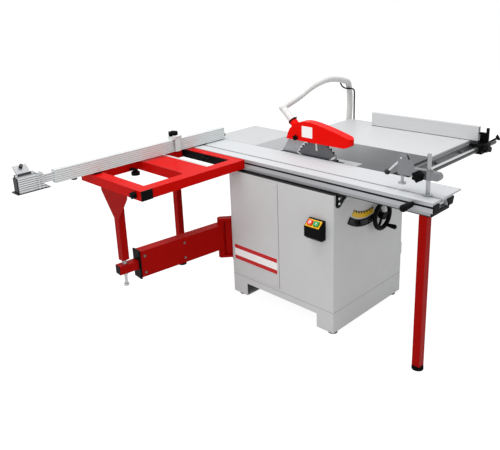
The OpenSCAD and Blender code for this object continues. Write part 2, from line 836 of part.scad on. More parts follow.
// Frame of the sloping face: z points out of it and x points up it
module on_slope() {
    translate([switch_face + slope_x / 2, -switch_y, (switch_knee + switch_top) / 2])
        rotate([0, slope_a - 90, 0]) children();
}

// Button on the sloping face, drawn out by a margin
module button(side, more, from, to) {
    on_slope() translate([-button_h / 2 - more, side * button_pitch / 2 - button_w / 2 - more, from])
        cube([button_h + 2 * more, button_w + 2 * more, to - from]);
}

module switch_box() {
    color("black") placed() difference() {
        along_y(-switch_y - switch_w / 2, switch_w) polygon([[cab_x0, switch_z - switch_h / 2],
            [switch_face + 18, switch_z - switch_h / 2], [switch_face, switch_z - switch_h / 2 + 16],
            [switch_face, switch_knee], [switch_face + slope_x, switch_top], [cab_x0, switch_top]]);
        for (side = [-1, 1])
            button(side, button_gap, -14, 2);
    }
}

module switch_plate() {
    color("gold") placed() difference() {
        on_slope() bar([4 - slope_l / 2, 6 - switch_w / 2, 0], [slope_l - 8, switch_w - 12, plate_t]);
        for (side = [-1, 1])
            button(side, button_gap, -1, plate_t + 1);
    }
}

module start_button() {
    color("green") placed() button(-1, 0, -9, plate_t + button_out);
}

module stop_button() {
    color("red") placed() button(1, 0, -9, plate_t + button_out);
}

module power_inlet() {
    color("gray") placed() {
        bar([cab_x1, cab_y0 + 10, 225], [8, inlet_w, inlet_h]);
        bar([cab_x1 + 7, cab_y0 + 17, 232], [inlet_d - 15, inlet_w - 14, inlet_h - 14]);
        rod_z([cab_x1 + inlet_d / 2, cab_y0 + 10 + inlet_w / 2, 206], 14, 30);
    }
}

module arm_bracket() {
    color("firebrick") placed() {
        bar([cab_x0 + 4, cab_y1, hinge_z0 - ear_t - 16],
            [80, 8, hinge_z1 - hinge_z0 + 2 * ear_t + 32]);
        for (z = [hinge_z0 - ear_gap - ear_t, hinge_z1 + ear_gap])
            translate([0, 0, z]) linear_extrude(ear_t) union() {
                translate([-hinge_x, hinge_y]) circle(r = hinge_r);
                polygon([[-hinge_x - 12, hinge_y - 18], [cab_x0 + 4, cab_y1 + 1],
                    [cab_x0 + 70, cab_y1 + 1], [-hinge_x + 14, hinge_y + 17]]);
            }
        rod_z([-hinge_x, hinge_y, hinge_z0 - ear_gap - 2], pin_r, hinge_z1 - hinge_z0 + 2 * ear_gap + 4);
        translate([-hinge_x, hinge_y, hinge_z0 - ear_gap - 1]) rotate(web_a)
            bar([hinge_r + 1.5, -4, 0], [web_l, 8, hinge_z1 - hinge_z0 + 2 * ear_gap + 2]);
    }
}

module dust_port() {
    color("dimgray") placed() difference() {
        union() {
            rod_y([-port_x, cab_y1, port_z], port_r, port_l);
            rod_y([-port_x, cab_y1, port_z], port_r + 3, port_l - port_seat);
            rod_y([-port_x, cab_y1, port_z], port_r + 16, 4);
            rod_x([-port_x, branch_y, port_z], hose_r, port_x + 50 - hose_gap);
        }
        rod_y([-port_x, cab_y1 - 1, port_z], port_r - port_wall, port_l + 2);
        rod_x([-port_x, branch_y, port_z], hose_r - port_wall, port_x + 52);
    }
}

module hose_hook() {
    color("black") placed() {
        bar([ext_x1, hook_y - 18, table_h - 46], [6, 36, 40]);
        swept(smooth_route(hook_route, 2), hook_r, 10);
    }
}

module dust_hose() {
    color("ivory") placed() swept(smooth_route(hose_route, 3), hose_r, 12);
}

module cradle_plate(y) {
    along_y(y, cradle_t) polygon([[104, 802], [196, 802], [206, 740], [222, 372], [222, 360],
        [120, 360], [62, 540], [58, 604], [66, 802]]);
}

module tilt_cradle() {
    color("darkslategray") placed() difference() {
        union() {
            cradle_plate(-cradle_half - cradle_t);
            cradle_plate(cradle_half);
            bar([120, -cradle_half - 1, 360], [110, 2 * cradle_half + 2, 12]);
            bar([guide_x - 22, -cradle_half - 1, 788], [44, 2 * cradle_half + 2, 12]);
            for (s = [-1, 1])
                rod_z([guide_x, s * guide_y, 371], guide_r, 418);
            for (a = [pin_a, pin_b]) {
                rod_y([tilt_r * sin(a), -tr_y0 - cradle_t + 1, table_h - tilt_r * cos(a)],
                    tilt_pin_r, tr_y0 + cradle_t - 2 - cradle_half);
                rod_y([tilt_r * sin(a), cradle_half + 1, table_h - tilt_r * cos(a)],
                    tilt_pin_r, tr_y0 + cradle_t - 2 - cradle_half);
            }
            for (z = [604, 776])
                bar([wheel_x - 20, -cradle_half - 1, z], [40, cradle_half - screw_y + 21, 12]);
            bar([knife_t / 2, 226, 752], [18, 24, 40]);
            bar([knife_t / 2, 240, 740], [82, cradle_half - 239, 24]);
        }
        rod_z([wheel_x, -screw_y, 590], screw_r + fit, 220);
        rod_y([wheel_x, -cradle_half - cradle_t - 1, wheel_z], screw_r + fit, cradle_t + 2);
    }
}

module riving_knife() {
    color("silver") placed() along_x(-knife_t / 2, knife_t) difference() {
        polygon([[70, 965], [176, 965], [188, 933], [205, 933], [257, table_h], [262, 790], [262, 752],
            [160, 752], [100, 800]]);
        translate([0, arbor_z]) circle(r = blade_r + knife_gap, $fn = 128);
    }
}

// Side outline of the guard, drawn in by a margin
module guard_side(m) {
    polygon([[-192 + m, 935 - m], [-214 + m, 942 + m / 2], [-229 + m, 954], [-239 + m, 968],
        [-241 + m, 976], [-236 + m, 983 - m], [-200, 996 - m], [-146, 1011 - m],
        [-60, 1031 - m], [-4, 1041 - m], [34, 1046 - m], [67, 1047 - m], [96, 1043 - m],
        [122, 1034 - m], [152, 1018 - m], [179 - m, 994 - m], [192 - m, 968], [203 - m, 935 - m]]);
}

// Plan outline of the guard with a rounded nose
module guard_plan(m) {
    h = guard_half - m;
    translate([-h, -205]) square([2 * h, 425]);
    translate([0, -205]) scale(1) circle(r = h);
}

module guard_form(m) {
    intersection() {
        along_x(-guard_half - 2, 2 * guard_half + 4) guard_side(m);
        translate([0, 0, 900]) linear_extrude(200) guard_plan(m);
    }
}

module blade_guard() {
    color("red") placed() difference() {
        union() {
            guard_form(0);
            translate(elbow_root) along(elbow_at - elbow_root)
                cylinder(r = hose_r + guard_wall, h = 44);
        }
        guard_form(guard_wall);
        bar([-guard_half + guard_wall, -190, 930], [2 * (guard_half - guard_wall), 390, 8]);
        translate(elbow_root) along(elbow_at - elbow_root)
            translate([0, 0, -30]) cylinder(r = hose_r, h = 90);
        rod_x([-guard_half - 1, 129, 950], 5.3, 8);
    }
}

module guard_elbow() {
    color("ivory") placed() {
        translate(elbow_root) along(elbow_at - elbow_root)
            cylinder(r = hose_r, h = norm(elbow_at - elbow_root));
        translate(elbow_at) sphere(r = hose_r + 2);
        translate(elbow_at) along(hose_start - elbow_at)
            cylinder(r = hose_r, h = norm(hose_start - elbow_at) - hose_gap);
    }
}

// Turns +z to a direction
module along(d) {
    rotate([0, acos(d[2] / norm(d)), atan2(d[1], d[0])]) children();
}

module guard_knob() {
    color("black") placed() {
        translate([-guard_half - 4, 129, 950]) rotate([0, -90, 0]) star_knob(guard_knob_r, 12);
        rod_x([-guard_half - 5, 129, 950], 5, 8);
    }
}

module handwheel() {
    wheel_y = cab_y0 - wheel_out;
    color("black") placed() {
        translate([wheel_x, wheel_y, wheel_z]) rotate([90, 0, 0]) {
            rotate_extrude() translate([wheel_r - 12, 0]) circle(r = 12, $fn = 24);
            for (a = [0, 120, 240]) rotate(a) translate([0, -7, -4]) cube([wheel_r - 13, 14, 8]);
            translate([0, 0, -14]) cylinder(r = 19, h = 30);
        }
        rod_y([wheel_x, wheel_y, wheel_z], screw_r, -screw_y - bevel_out + 1 - wheel_y);
        rotate_gear([wheel_x, -screw_y, wheel_z]);
    }
}

// Bevel gear blank on the handwheel shaft, its small end towards the screw
module rotate_gear(at) {
    translate(at) rotate([90, 0, 0]) translate([0, 0, bevel_in])
        cylinder(r1 = bevel_in - 1, r2 = bevel_out - 1, h = bevel_out - bevel_in);
}

module crank_handle() {
    color("black") placed() {
        translate([wheel_x + 0.4 * wheel_r, cab_y0 - wheel_out - 12.5, wheel_z - 0.75 * wheel_r])
            rotate([90, 0, 0]) {
                cylinder(r = 8, h = 8);
                translate([0, 0, 7]) cylinder(r1 = 10, r2 = 13, h = 36);
                translate([0, 0, 43]) sphere(r = 13);
            }
    }
}

module lift_screw() {
    color("silver") placed() {
        rod_z([wheel_x, -screw_y, wheel_z + bevel_in + 1], screw_r, 796 - wheel_z - bevel_in - 1);
        translate([wheel_x, -screw_y, wheel_z + bevel_in])
            cylinder(r1 = bevel_in - 1, r2 = bevel_out - 1, h = bevel_out - bevel_in);
    }
}

module lift_carriage() {
    color("gray") placed() difference() {
        union() {
            rod_x([14, 0, arbor_z], housing_r, 98);
            bar([62, -75, 742], [14, 150, 56]);
            for (y = [-75, 62])
                bar([62, y, 690], [105, 13, 110]);
            bar([155, -75, motor_z - 70], [12, 150, 270]);
            for (s = [-1, 1]) {
                rod_z([guide_x, s * guide_y, 640], guide_r + 9, 120);
                bar([155, s * guide_y - (s > 0 ? 68 : 8), 660], [30, 76, 80]);
            }
            bar([62, -screw_y - 18, 728], [44, screw_y - 50, 26]);
        }
        rod_x([13, 0, arbor_z], arbor_r + fit, 100);
        rod_x([150, 0, motor_z], 14, 20);
        rod_x([111, 0, arbor_z], small_r + belt_t + 8, 43);
        for (s = [-1, 1])
            rod_z([guide_x, s * guide_y, 630], guide_r + fit, 140);
        rod_z([wheel_x, -screw_y, 720], screw_r + 0.4, 50);
    }
}

module motor() {
    color("steelblue") placed() difference() {
        union() {
            rod_x([167, 0, motor_z], motor_r, motor_l - 30);
            rod_x([166 + motor_l - 30, 0, motor_z], motor_r + 3, 30);
            bar([200, -motor_r - 20, motor_z - 30], [70, 40, 60]);
        }
        rod_x([166, 0, motor_z], 9 + fit, 60);
    }
}

module motor_pulley() {
    color("dimgray") placed() {
        rod_x([122, 0, motor_z], big_r, 28);
        rod_x([118, 0, motor_z], 9, 100);
    }
}

// Arc points about a centre at height z, from angle a0 to a1
function arc_points(z, r, a0, a1) = [for (i = [0 : 12])
    let (a = a0 + (a1 - a0) * i / 12) [r * cos(a), z + r * sin(a)]];

// Belt line round both pulleys, drawn out by a margin
module belt_line(more) {
    lean = asin((big_r - small_r) / (arbor_z - motor_z));
    polygon(concat(arc_points(arbor_z, small_r + more, lean, 180 - lean),
        arc_points(motor_z, big_r + more, 180 - lean, 360 + lean)));
}

module drive_belt() {
    color("black") placed() along_x(126, 20) difference() {
        belt_line(belt_gap + belt_t);
        belt_line(belt_gap);
    }
}

module arbor() {
    color("silver") placed() {
        rod_x([-blade_t / 2 - flange_t - 15, 0, arbor_z], arbor_r, 151.5 + blade_t + flange_t + 15);
        rod_x([blade_t / 2, 0, arbor_z], flange_r, flange_t);
        rod_x([-blade_t / 2 - flange_t, 0, arbor_z], flange_r, flange_t);
        translate([-blade_t / 2 - flange_t - 13, 0, arbor_z]) rotate([0, 90, 0])
            cylinder(r = 18, h = 13, $fn = 6);
        rod_x([122, 0, arbor_z], small_r, 28);
    }
}

module saw_blade() {
    step = 360 / teeth;
    root = blade_r - tooth_h;
    color("gray") placed() along_x(-blade_t / 2, blade_t) translate([0, arbor_z]) difference() {
        polygon([for (i = [0 : teeth - 1]) each [
            [blade_r * cos(i * step), blade_r * sin(i * step)],
            [(blade_r - 3) * cos((i + 0.3) * step), (blade_r - 3) * sin((i + 0.3) * step)],
            [root * cos((i + 0.55) * step), root * sin((i + 0.55) * step)],
            [root * cos((i + 0.92) * step), root * sin((i + 0.92) * step)]]]);
        for (a = [26 : 60 : 359]) rotate(a) translate([blade_r - 60, -3]) square([80, 6]);
        circle(r = arbor_r);
    }
}

// Section of the sliding table in x and z
module slide_section() {
    difference() {
        union() {
            translate([slide_x0, table_h - slide_t]) square([slide_w - lip_w, slide_t]);
            translate([slide_x1 - lip_w - 1, table_h - lip_t]) square([lip_w + 1, lip_t]);
            translate([slide_x0, box_z]) square([box_w, table_h - slide_t - box_z + 1]);
            translate([slot_x - slot_block / 2, block_z]) square([slot_block, table_h - block_z - 1]);
            polygon([[slide_x1 - lip_w - 48, box_z + 2], [slide_x1 - lip_w - 12, box_z + 2],
                [slide_x1 - lip_w - 3, table_h - slide_t + 2],
                [slide_x1 - lip_w - 62, table_h - slide_t + 2]]);
        }
        translate([slide_x0 + groove_d + box_wall, box_z + box_wall])
            square([box_w - groove_d - 2 * box_wall, table_h - slide_t - box_z - box_wall]);
        translate([slide_x0 - 1, groove_z - groove_h / 2]) square([groove_d + 1, groove_h]);
        translate([slot_x - slot_w / 2, slot_z]) square([slot_w, table_h - slot_z + 1]);
        translate([slot_x - slot_in / 2, slot_z]) square([slot_in, slot_in_h]);
        polygon([[slide_x1 - lip_w - 43, box_z + 7], [slide_x1 - lip_w - 17, box_z + 7],
            [slide_x1 - lip_w - 10, table_h - slide_t - 3],
            [slide_x1 - lip_w - 54, table_h - slide_t - 3]]);
    }
}

module sliding_table() {
    color("silver") placed() along_y(slide_y0, slide_l) slide_section();
}

module cap_at(y) {
    along_y(y, cap_t) translate([slide_x0 + 1, box_z + 1]) square([box_w - 2, table_h - slide_t - box_z - 2]);
    along_y(y, cap_t) polygon([[slide_x1 - lip_w - 61, table_h - slide_t - 1],
        [slide_x1 - lip_w - 1, table_h - slide_t - 1], [slide_x1 - lip_w - 13, box_z + 3],
        [slide_x1 - lip_w - 47, box_z + 3]]);
}

module end_caps() {
    color("black") placed() {
        cap_at(slide_y0 - cap_t);
        cap_at(slide_y1);
        for (y = [out_front - cap_t, out_y1])
            bar([out_x0, y, out_z0], [beam_w, cap_t, beam_h]);
        bar([slide_x0 - beam_in - clamp_bar_t, out_front + beam_w + 1, out_z0 + 3],
            [clamp_bar_t, out_l - 2 * beam_w - 2, beam_h - 6]);
        translate([out_x0, out_front + 49, out_z0 + beam_h / 2]) rotate([0, -90, 0]) star_knob(18, 22);
        bar([lug_x - 12, lug_y, out_z0 + 10], [24, out_y1 - beam_w - lug_y, 8]);
        rod_z([lug_x, lug_y + 8, out_z0 - 14], 24, 18);
        rod_z([lug_x, lug_y + 8, out_z0 + 2], 7, 10);
    }
}

module push_handle() {
    color("black") placed() {
        translate([slide_x0 - 14, slide_y0 + 97, groove_z]) rotate([0, -90, 0]) {
            cylinder(r1 = push_r - 4, r2 = push_r, h = push_l - 14 - push_r);
            translate([0, 0, push_l - 14 - push_r]) sphere(r = push_r);
            translate([0, 0, -14]) cylinder(r = 10, h = 15);
        }
        rod_x([slide_x0 - 1, slide_y0 + 97, groove_z], groove_h / 2 - 0.5, groove_d);
    }
}

module ball_cage() {
    color("goldenrod") placed()
        bar([slot_x - rib_w / 2, slide_y0 + 442, rail_z1 + rib_h + run_gap],
            [rib_w, cage_l, block_z - rail_z1 - rib_h - 2 * run_gap]);
}

module outrigger_frame() {
    color("firebrick") placed() {
        box_tube([out_x0, out_front, out_z0], [beam_w, out_l, beam_h], tube_wall, 1);
        box_tube([out_x0 + beam_w, out_front, out_z0], [out_reach - beam_w, beam_w, beam_h], tube_wall, 0);
        box_tube([out_x0 + beam_w, out_y1 - beam_w, out_z0], [out_reach - beam_w, beam_w, beam_h],
            tube_wall, 0);
        box_tube([slide_x0 - beam_in, out_front + beam_w, out_z0],
            [beam_in, out_l - 2 * beam_w, beam_h], tube_wall, 1);
        box_tube([out_x0 + panel_out, out_front + beam_w, out_z0],
            [panel_w, out_l - 2 * beam_w, beam_h], tube_wall, 1);
    }
}

module outrigger_leg() {
    at = out_leg_at;
    color("firebrick") placed() {
        box_tube([at[0] - leg_w / 2, at[1] - leg_w / 2, out_leg_z + 5],
            [leg_w, leg_w, out_z0 - out_leg_z - 5], tube_wall, 2);
        bar([at[0] - leg_w / 2, at[1] - leg_w / 2, out_leg_z], [leg_w, leg_w, 6]);
        along_x(at[0] - leg_w / 2, 4) difference() {
            polygon([[at[1] - gusset_w / 2, out_z0], [at[1] + gusset_w / 2, out_z0],
                [at[1] + gusset_w / 2, out_z0 - 16], [at[1] + leg_w / 2 - 1, out_z0 - gusset_h],
                [at[1] - leg_w / 2 + 1, out_z0 - gusset_h], [at[1] - gusset_w / 2, out_z0 - 16]]);
            translate([at[1] - leg_w / 2 + 1, out_z0 - gusset_h - 1]) square([leg_w - 2, gusset_h + 2]);
        }
    }
}

module outrigger_lever() {
    at = [slide_x0 - beam_in - clamp_bar_t, out_front + 0.52 * out_l, out_z0 + beam_h / 2];
    color("black") placed() {
        rod_x([at[0] - 20, at[1], at[2]], 11, 20);
        along_x(at[0] - 20, 10) union() {
            translate([at[1] - lever_l, at[2] + 4]) square([lever_l, 9]);
            translate([at[1] - lever_l, at[2] + 8.5]) circle(r = 7);
        }
    }
}

// Ribbed fence section in y and z
module fence_section() {
    difference() {
        translate([xfence_y, xf_z0]) square([xfence_t, xfence_h]);
        translate([xf_mid_y - ext_bar_t / 2 - run_gap, xf_mid_z - ext_bar_h / 2 - run_gap])
            square([ext_bar_t + 2 * run_gap, ext_bar_h + 2 * run_gap]);
        for (i = [0 : 5])
            translate([xfence_y - 1, xf_z0 + 8 + i * (xfence_h - 16) / 5 - 2]) square([3.5, 4]);
        translate([xf_mid_y - 5, xf_z1 - 8]) square([10, 9]);
    }
}

module crosscut_fence() {
    color("silver") placed() {
        along_x(xf_x0, xfence_l) fence_section();
        bar([slot_x - 30, xf_mid_y - 15, table_h + 0.4], [60, 30, xfence_lift]);
        rod_z([slot_x, xf_mid_y, table_h - slot_lip - 2], slot_w / 2 - 1, slot_lip + 4);
        bar([out_x0 + 12, xf_mid_y - 15, out_z1 + 0.4], [44, 30, xfence_lift + out_drop]);
        rod_z([xf_x0 + 110, xf_mid_y, table_h - out_drop + 1.5], 15, xfence_lift + out_drop - 0.5);
        rod_x([xf_x1 - 1, xf_mid_y, xf_z0 + 20], 9, 15);
    }
}

module fence_stop() {
    color("silver") placed() {
        bar([stop_x - stop_w / 2, xfence_y - 9, xf_z1 + 0.4], [stop_w, xfence_t + 12, 20]);
        rod_z([stop_x, xf_mid_y, xf_z1 - 6], 4.5, 10);
        for (s = [-1, 1])
            bar([stop_x + s * (stop_w / 2 - 4) - 4, xfence_y - 24, xf_z1 + 8], [8, 16, 20]);
        rod_x([stop_x - stop_w / 2, xfence_y - 18, xf_z1 + 21], 3.5, stop_w);
    }
}

module stop_flap() {
    color("gainsboro") placed() difference() {
        union() {
            bar([stop_x - stop_w / 2 + 8.6, xfence_y - 21, xf_z0 + 4], [stop_w - 17.2, 6, xfence_h + 17]);
            rod_x([stop_x - stop_w / 2 + 8.6, xfence_y - 18, xf_z1 + 21], 7, stop_w - 17.2);
        }
        rod_x([stop_x - stop_w, xfence_y - 18, xf_z1 + 21], 3.5 + fit, 2 * stop_w);
    }
}

module stop_knob() {
    color("black") placed()
        translate([stop_x, xf_mid_y + 4, xf_z1 + 20.4]) {
            star_knob(stop_knob_r, 24);
        }
}

module end_stop() {
    color("silver") placed() {
        along_x(end_x1 - 4, ext_bar_out + ext_bar_in + 4)
            translate([xf_mid_y - ext_bar_t / 2, xf_mid_z - ext_bar_h / 2]) square([ext_bar_t, ext_bar_h]);
        along_x(end_x0, end_l) difference() {
            translate([xfence_y - 4, xf_z0 - 1]) square([xfence_t + 8, xfence_h + 2]);
            for (i = [0 : 5])
                translate([xfence_y - 5, xf_z0 + 8 + i * (xfence_h - 16) / 5 - 2]) square([4, 4]);
        }
        bar([end_x1 - 34, xfence_y - 14, xf_z0 - 4], [6, xfence_t + 24, xfence_h + 14]);
        bar([base_x0, xfence_y - 14, xf_z0 - 7], [end_l + 30, xfence_t + 34, 6]);
        for (x = [end_x0 + 6, end_x1 - 50])
            bar([x, xf_mid_y + 2, xf_z1], [12, 16, 14]);
        rod_x([end_x0 + 6, xf_mid_y + 10, xf_z1 + 8], 3.5, end_l - 44);
    }
}

module end_flap() {
    color("gainsboro") placed() difference() {
        translate([0, xf_mid_y + 10, xf_z1 + 8]) rotate([42, 0, 0]) union() {
            bar([end_x0 + 18.6, 4, -3], [end_l - 69.2, 52, 6]);
            rod_x([end_x0 + 18.6, 0, 0], 6.5, end_l - 69.2);
            bar([end_x0 + 18.6, 0, -3], [end_l - 69.2, 6, 6]);
            rod_z([end_x0 + end_l / 2 - 14, 42, 2], 9, 16);
        }
        rod_x([end_x0, xf_mid_y + 10, xf_z1 + 8], 3.5 + fit, end_l);
    }
}

module clamp_column() {
    color("lightsteelblue") placed() {
        rod_z([slot_x, -clamp_y, table_h + run_gap + 1], column_r, column_h - run_gap - 1);
        rod_z([slot_x, -clamp_y, table_h + run_gap], 21, 7);
        intersection() {
            rod_z([slot_x, -clamp_y, slot_z + 1], slot_in / 2 - 1, slot_in_h - 2);
            bar([slot_x - slot_w, -clamp_y - 30, slot_z], [2 * slot_w, 60, slot_in_h]);
        }
        rod_z([slot_x, -clamp_y, slot_z + 2], slot_w / 2 - 1, slot_in_h + slot_lip);
    }
}

module clamp_arm() {
    front = -clamp_y - 62;
    color("darkgray") placed() difference() {
        union() {
            along_x(slot_x - clamp_arm_t / 2, clamp_arm_t) union() {
                translate([front + clamp_arm_h / 2, arm_mid_z]) circle(r = clamp_arm_h / 2);
                translate([front + clamp_arm_h / 2, arm_mid_z - clamp_arm_h / 2])
                    square([press_y - front - 1, clamp_arm_h]);
                polygon([[-clamp_y + 66, arm_mid_z], [press_y - 20, cam_z + 14], [press_y + 8, cam_z + 14],
                    [press_y + 18, cam_z], [press_y + 18, arm_mid_z]]);
            }
            rod_z([slot_x, -clamp_y, arm_mid_z - clamp_arm_h / 2 - 3], 20, clamp_arm_h + 6);
            rod_z([slot_x, press_y, arm_mid_z - clamp_arm_h / 2 - 8], 13, 20);
        }
        rod_z([slot_x, -clamp_y, table_h], column_r + fit, 200);
        rod_z([slot_x, press_y, table_h], spindle_r + fit, 150);
        bar([slot_x - 7, press_y - 32, arm_mid_z + clamp_arm_h / 2], [14, 80, 90]);
        rod_x([slot_x - 30, -clamp_y + 34, arm_mid_z - 6], 5.3, 34);
        rod_x([slot_x - clamp_arm_t, press_y, cam_z], cam_pin_r + fit, 2 * clamp_arm_t);
    }
}

module clamp_knob() {
    at = [slot_x - clamp_arm_t / 2 - 8, -clamp_y + 34, arm_mid_z - 6];
    color("black") placed() {
        translate(at) rotate([0, -90, 0]) star_knob(26, 22);
        rod_x([at[0] - 1, at[1], at[2]], 5, 24);
    }
}

module clamp_lever() {
    ball = [slot_x, press_y + 79, cam_z - 82];
    from = [slot_x, press_y, cam_z];
    color("lightsteelblue") placed() {
        rod_x([slot_x - 5, press_y, cam_z - cam_off], cam_r, 10);
        rod_x([slot_x - clamp_arm_t / 2 - 3, press_y, cam_z], cam_pin_r, clamp_arm_t + 6);
        translate(from) along(ball - from) cylinder(r = 4.5, h = norm(ball - from));
        translate(ball) sphere(r = 14);
    }
}

module clamp_foot() {
    top = cam_z - cam_off - cam_r - 1;
    foot_z = arm_mid_z - clamp_arm_h / 2 - 46;
    color("silver") placed() {
        rod_z([slot_x, press_y, foot_z + 4], spindle_r, top - foot_z - 4);
        rod_z([slot_x, press_y, foot_z], press_r, 8);
    }
}

module rip_carriage() {
    color("black") placed() {
        along_x(carr_x0, carr_w) difference() {
            union() {
                translate([bar_y - carr_d / 2, bar_z - 24]) square([carr_d, 54]);
                translate([bar_y, bar_z + 20]) square([carr_d / 2 + 12, bar_drop - 21]);
            }
            translate([bar_y, bar_z]) circle(r = bar_r + fit);
            translate([bar_y, bar_z - 12]) square([carr_d, 24]);
        }
        bar([rip_x + rip_t + 0.4, bar_y - carr_d / 2 + 4, bar_z + bar_r + 2],
            [16, bar_out - scale_d - 5 + carr_d / 2, rip_h - 20]);
        bar([rip_x + rip_t - 4, bar_y - carr_d / 2, bar_z + 10], [12, 14, rip_h + 18]);
        rod_y([rip_x + 14, bar_y - carr_d / 2 - 24, bar_z - 4], 16, 25);
        translate([rip_x + 78, bar_y - carr_d / 2 + 2, bar_z + 30]) rotate([60, 0, 35]) {
            translate([0, 0, -24]) cylinder(r = 6, h = 56);
            translate([0, 0, 30]) cylinder(r1 = 12, r2 = 20, h = 16);
        }
    }
}

module rip_fence() {
    color("gainsboro") placed() along_y(-rip_front, rip_l) difference() {
        translate([rip_x, rip_z0]) square([rip_t, rip_h]);
        translate([rip_x + 4, rip_z0 + 4]) square([rip_t - 8, rip_h - 8]);
        translate([rip_x + rip_t - 5, rip_z0 + rip_h / 2 - 4]) square([6, 8]);
    }
}

module rip_knob() {
    color("black") placed()
        translate([carr_x0 + 22, bar_y - carr_d / 2 - 6, bar_z + 12]) rotate([90, 0, 0]) {
            star_knob(25, 22);
            translate([0, 0, -6]) cylinder(r = 9, h = 7);
        }
}

// Frame of the swing arm: x runs outwards along the arm
module on_arm() {
    translate([-hinge_x, hinge_y, 0]) rotate([0, 0, 180 - arm_angle]) children();
}

module swing_arm() {
    color("firebrick") placed() on_arm() difference() {
        union() {
            difference() {
                bar([8, -arm_w / 2, arm_z], [arm_l - 8, arm_w, arm_h]);
                bar([40, -arm_w / 2 + tube_wall, arm_z + tube_wall],
                    [arm_l, arm_w - 2 * tube_wall, arm_h - 2 * tube_wall]);
            }
            rod_z([0, 0, hinge_z0], hinge_r, hinge_z1 - hinge_z0);
            for (at = [[arm_l / 2, 30], [arm_l / 2, arm_h - 30], [arm_l - 26, 24], [arm_l - 26, arm_h - 30]])
                rod_y([at[0], arm_w / 2 - 1, arm_z + at[1]], 7, 5);
            difference() {
                bar([arm_l - 1, -arm_w / 2 - 5, arm_z - 5], [10, arm_w + 10, arm_h + 10]);
                bar([arm_l - 2, -inner_w / 2 - run_gap, inner_z - inner_w / 2 - run_gap],
                    [20, inner_w + 2 * run_gap, inner_w + 2 * run_gap]);
            }
        }
        rod_z([0, 0, hinge_z0 - 1], pin_r + fit, hinge_z1 - hinge_z0 + 2);
    }
}

module inner_tube() {
    rod_top = out_leg_z - 1.5;
    color("firebrick") placed() on_arm() {
        difference() {
            box_tube([100, -inner_w / 2, inner_z - inner_w / 2], [arm_reach - 60, inner_w, inner_w],
                tube_wall, 0);
            rod_z([arm_reach, 0, inner_z - inner_w], rod_r, 2 * inner_w);
        }
        bar([arm_reach + 36, 1 - inner_w / 2, inner_z - inner_w / 2 + 1], [6, inner_w - 2, inner_w - 2]);
        rod_z([arm_reach, 0, 262], rod_r, rod_top - 262);
        rod_z([arm_reach, 0, inner_z + inner_w / 2], 14, 12);
        rod_z([arm_reach, 0, inner_z - inner_w / 2 - 12], 14, 12);
        rod_z([arm_reach, 0, 264], 14, 12);
    }
}

plinth();
cabinet();
side_cover();
feet();
iron_table();
table_insert();
extension_table();
outfeed_table();
rip_rail();
rail_scale();
trunnions();
slide_rail();
rail_fittings();
rail_legs();
switch_box();
switch_plate();
arm_bracket();
dust_port();
power_inlet();
hose_hook();
dust_hose();
start_button();
stop_button();
tilt_cradle();
riving_knife();
blade_guard();
guard_elbow();
guard_knob();
handwheel();
crank_handle();
lift_screw();
lift_carriage();
motor();
drive_belt();
arbor();
saw_blade();
motor_pulley();
sliding_table();
end_caps();
push_handle();
outrigger_frame();
outrigger_leg();
ball_cage();
outrigger_lever();
crosscut_fence();
fence_stop();
stop_flap();
stop_knob();
end_stop();
end_flap();
clamp_column();
clamp_arm();
clamp_lever();
clamp_foot();
clamp_knob();
rip_carriage();
rip_fence();
rip_knob();
swing_arm();
inner_tube();
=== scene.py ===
"""Looks of a sliding table saw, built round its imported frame.

Lengths are in millimetres about the blade, as in the part's source, unless a field says metres: x to the rip fence,
y along the cut, z up from the floor. Place turns such a point into the frame's metres.
"""

import json
import logging
import math
from dataclasses import dataclass, field
from enum import Enum
from functools import partial

import bpy
import numpy as np
from mathutils import Matrix, Vector

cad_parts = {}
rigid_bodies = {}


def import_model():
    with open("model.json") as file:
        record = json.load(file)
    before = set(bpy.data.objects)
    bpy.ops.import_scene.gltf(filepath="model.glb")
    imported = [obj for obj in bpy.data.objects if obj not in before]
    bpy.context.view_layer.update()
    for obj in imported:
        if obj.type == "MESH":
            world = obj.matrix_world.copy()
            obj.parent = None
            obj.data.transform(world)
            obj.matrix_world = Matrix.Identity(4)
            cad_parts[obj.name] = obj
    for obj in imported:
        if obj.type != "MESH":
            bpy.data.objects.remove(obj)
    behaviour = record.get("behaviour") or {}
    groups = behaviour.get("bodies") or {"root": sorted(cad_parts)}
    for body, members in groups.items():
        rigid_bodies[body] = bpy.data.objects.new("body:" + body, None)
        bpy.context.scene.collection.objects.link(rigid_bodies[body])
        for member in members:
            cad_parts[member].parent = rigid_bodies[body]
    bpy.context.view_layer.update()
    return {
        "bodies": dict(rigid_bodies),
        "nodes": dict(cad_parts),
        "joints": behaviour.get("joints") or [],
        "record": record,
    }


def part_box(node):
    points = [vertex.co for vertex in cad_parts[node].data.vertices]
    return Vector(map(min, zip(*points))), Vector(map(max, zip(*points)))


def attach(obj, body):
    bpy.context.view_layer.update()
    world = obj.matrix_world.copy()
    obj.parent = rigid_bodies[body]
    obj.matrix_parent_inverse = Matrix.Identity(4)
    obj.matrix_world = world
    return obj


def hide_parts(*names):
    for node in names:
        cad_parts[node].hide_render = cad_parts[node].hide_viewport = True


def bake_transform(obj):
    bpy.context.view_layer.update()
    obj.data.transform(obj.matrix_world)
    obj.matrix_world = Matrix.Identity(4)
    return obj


LOG = logging.getLogger("sliding_table_saw")
MM = 0.001
Point = tuple[float, float, float]
Pair = tuple[float, float]
Socket = bpy.types.NodeSocket
Piece = bpy.types.Object
Tree = bpy.types.NodeTree
Material = bpy.types.Material

X_AXIS = (1.0, 0.0, 0.0)
Y_AXIS = (0.0, 1.0, 0.0)
Z_AXIS = (0.0, 0.0, 1.0)
FRONT = (0.0, -1.0, 0.0)
FAR = 5000.0

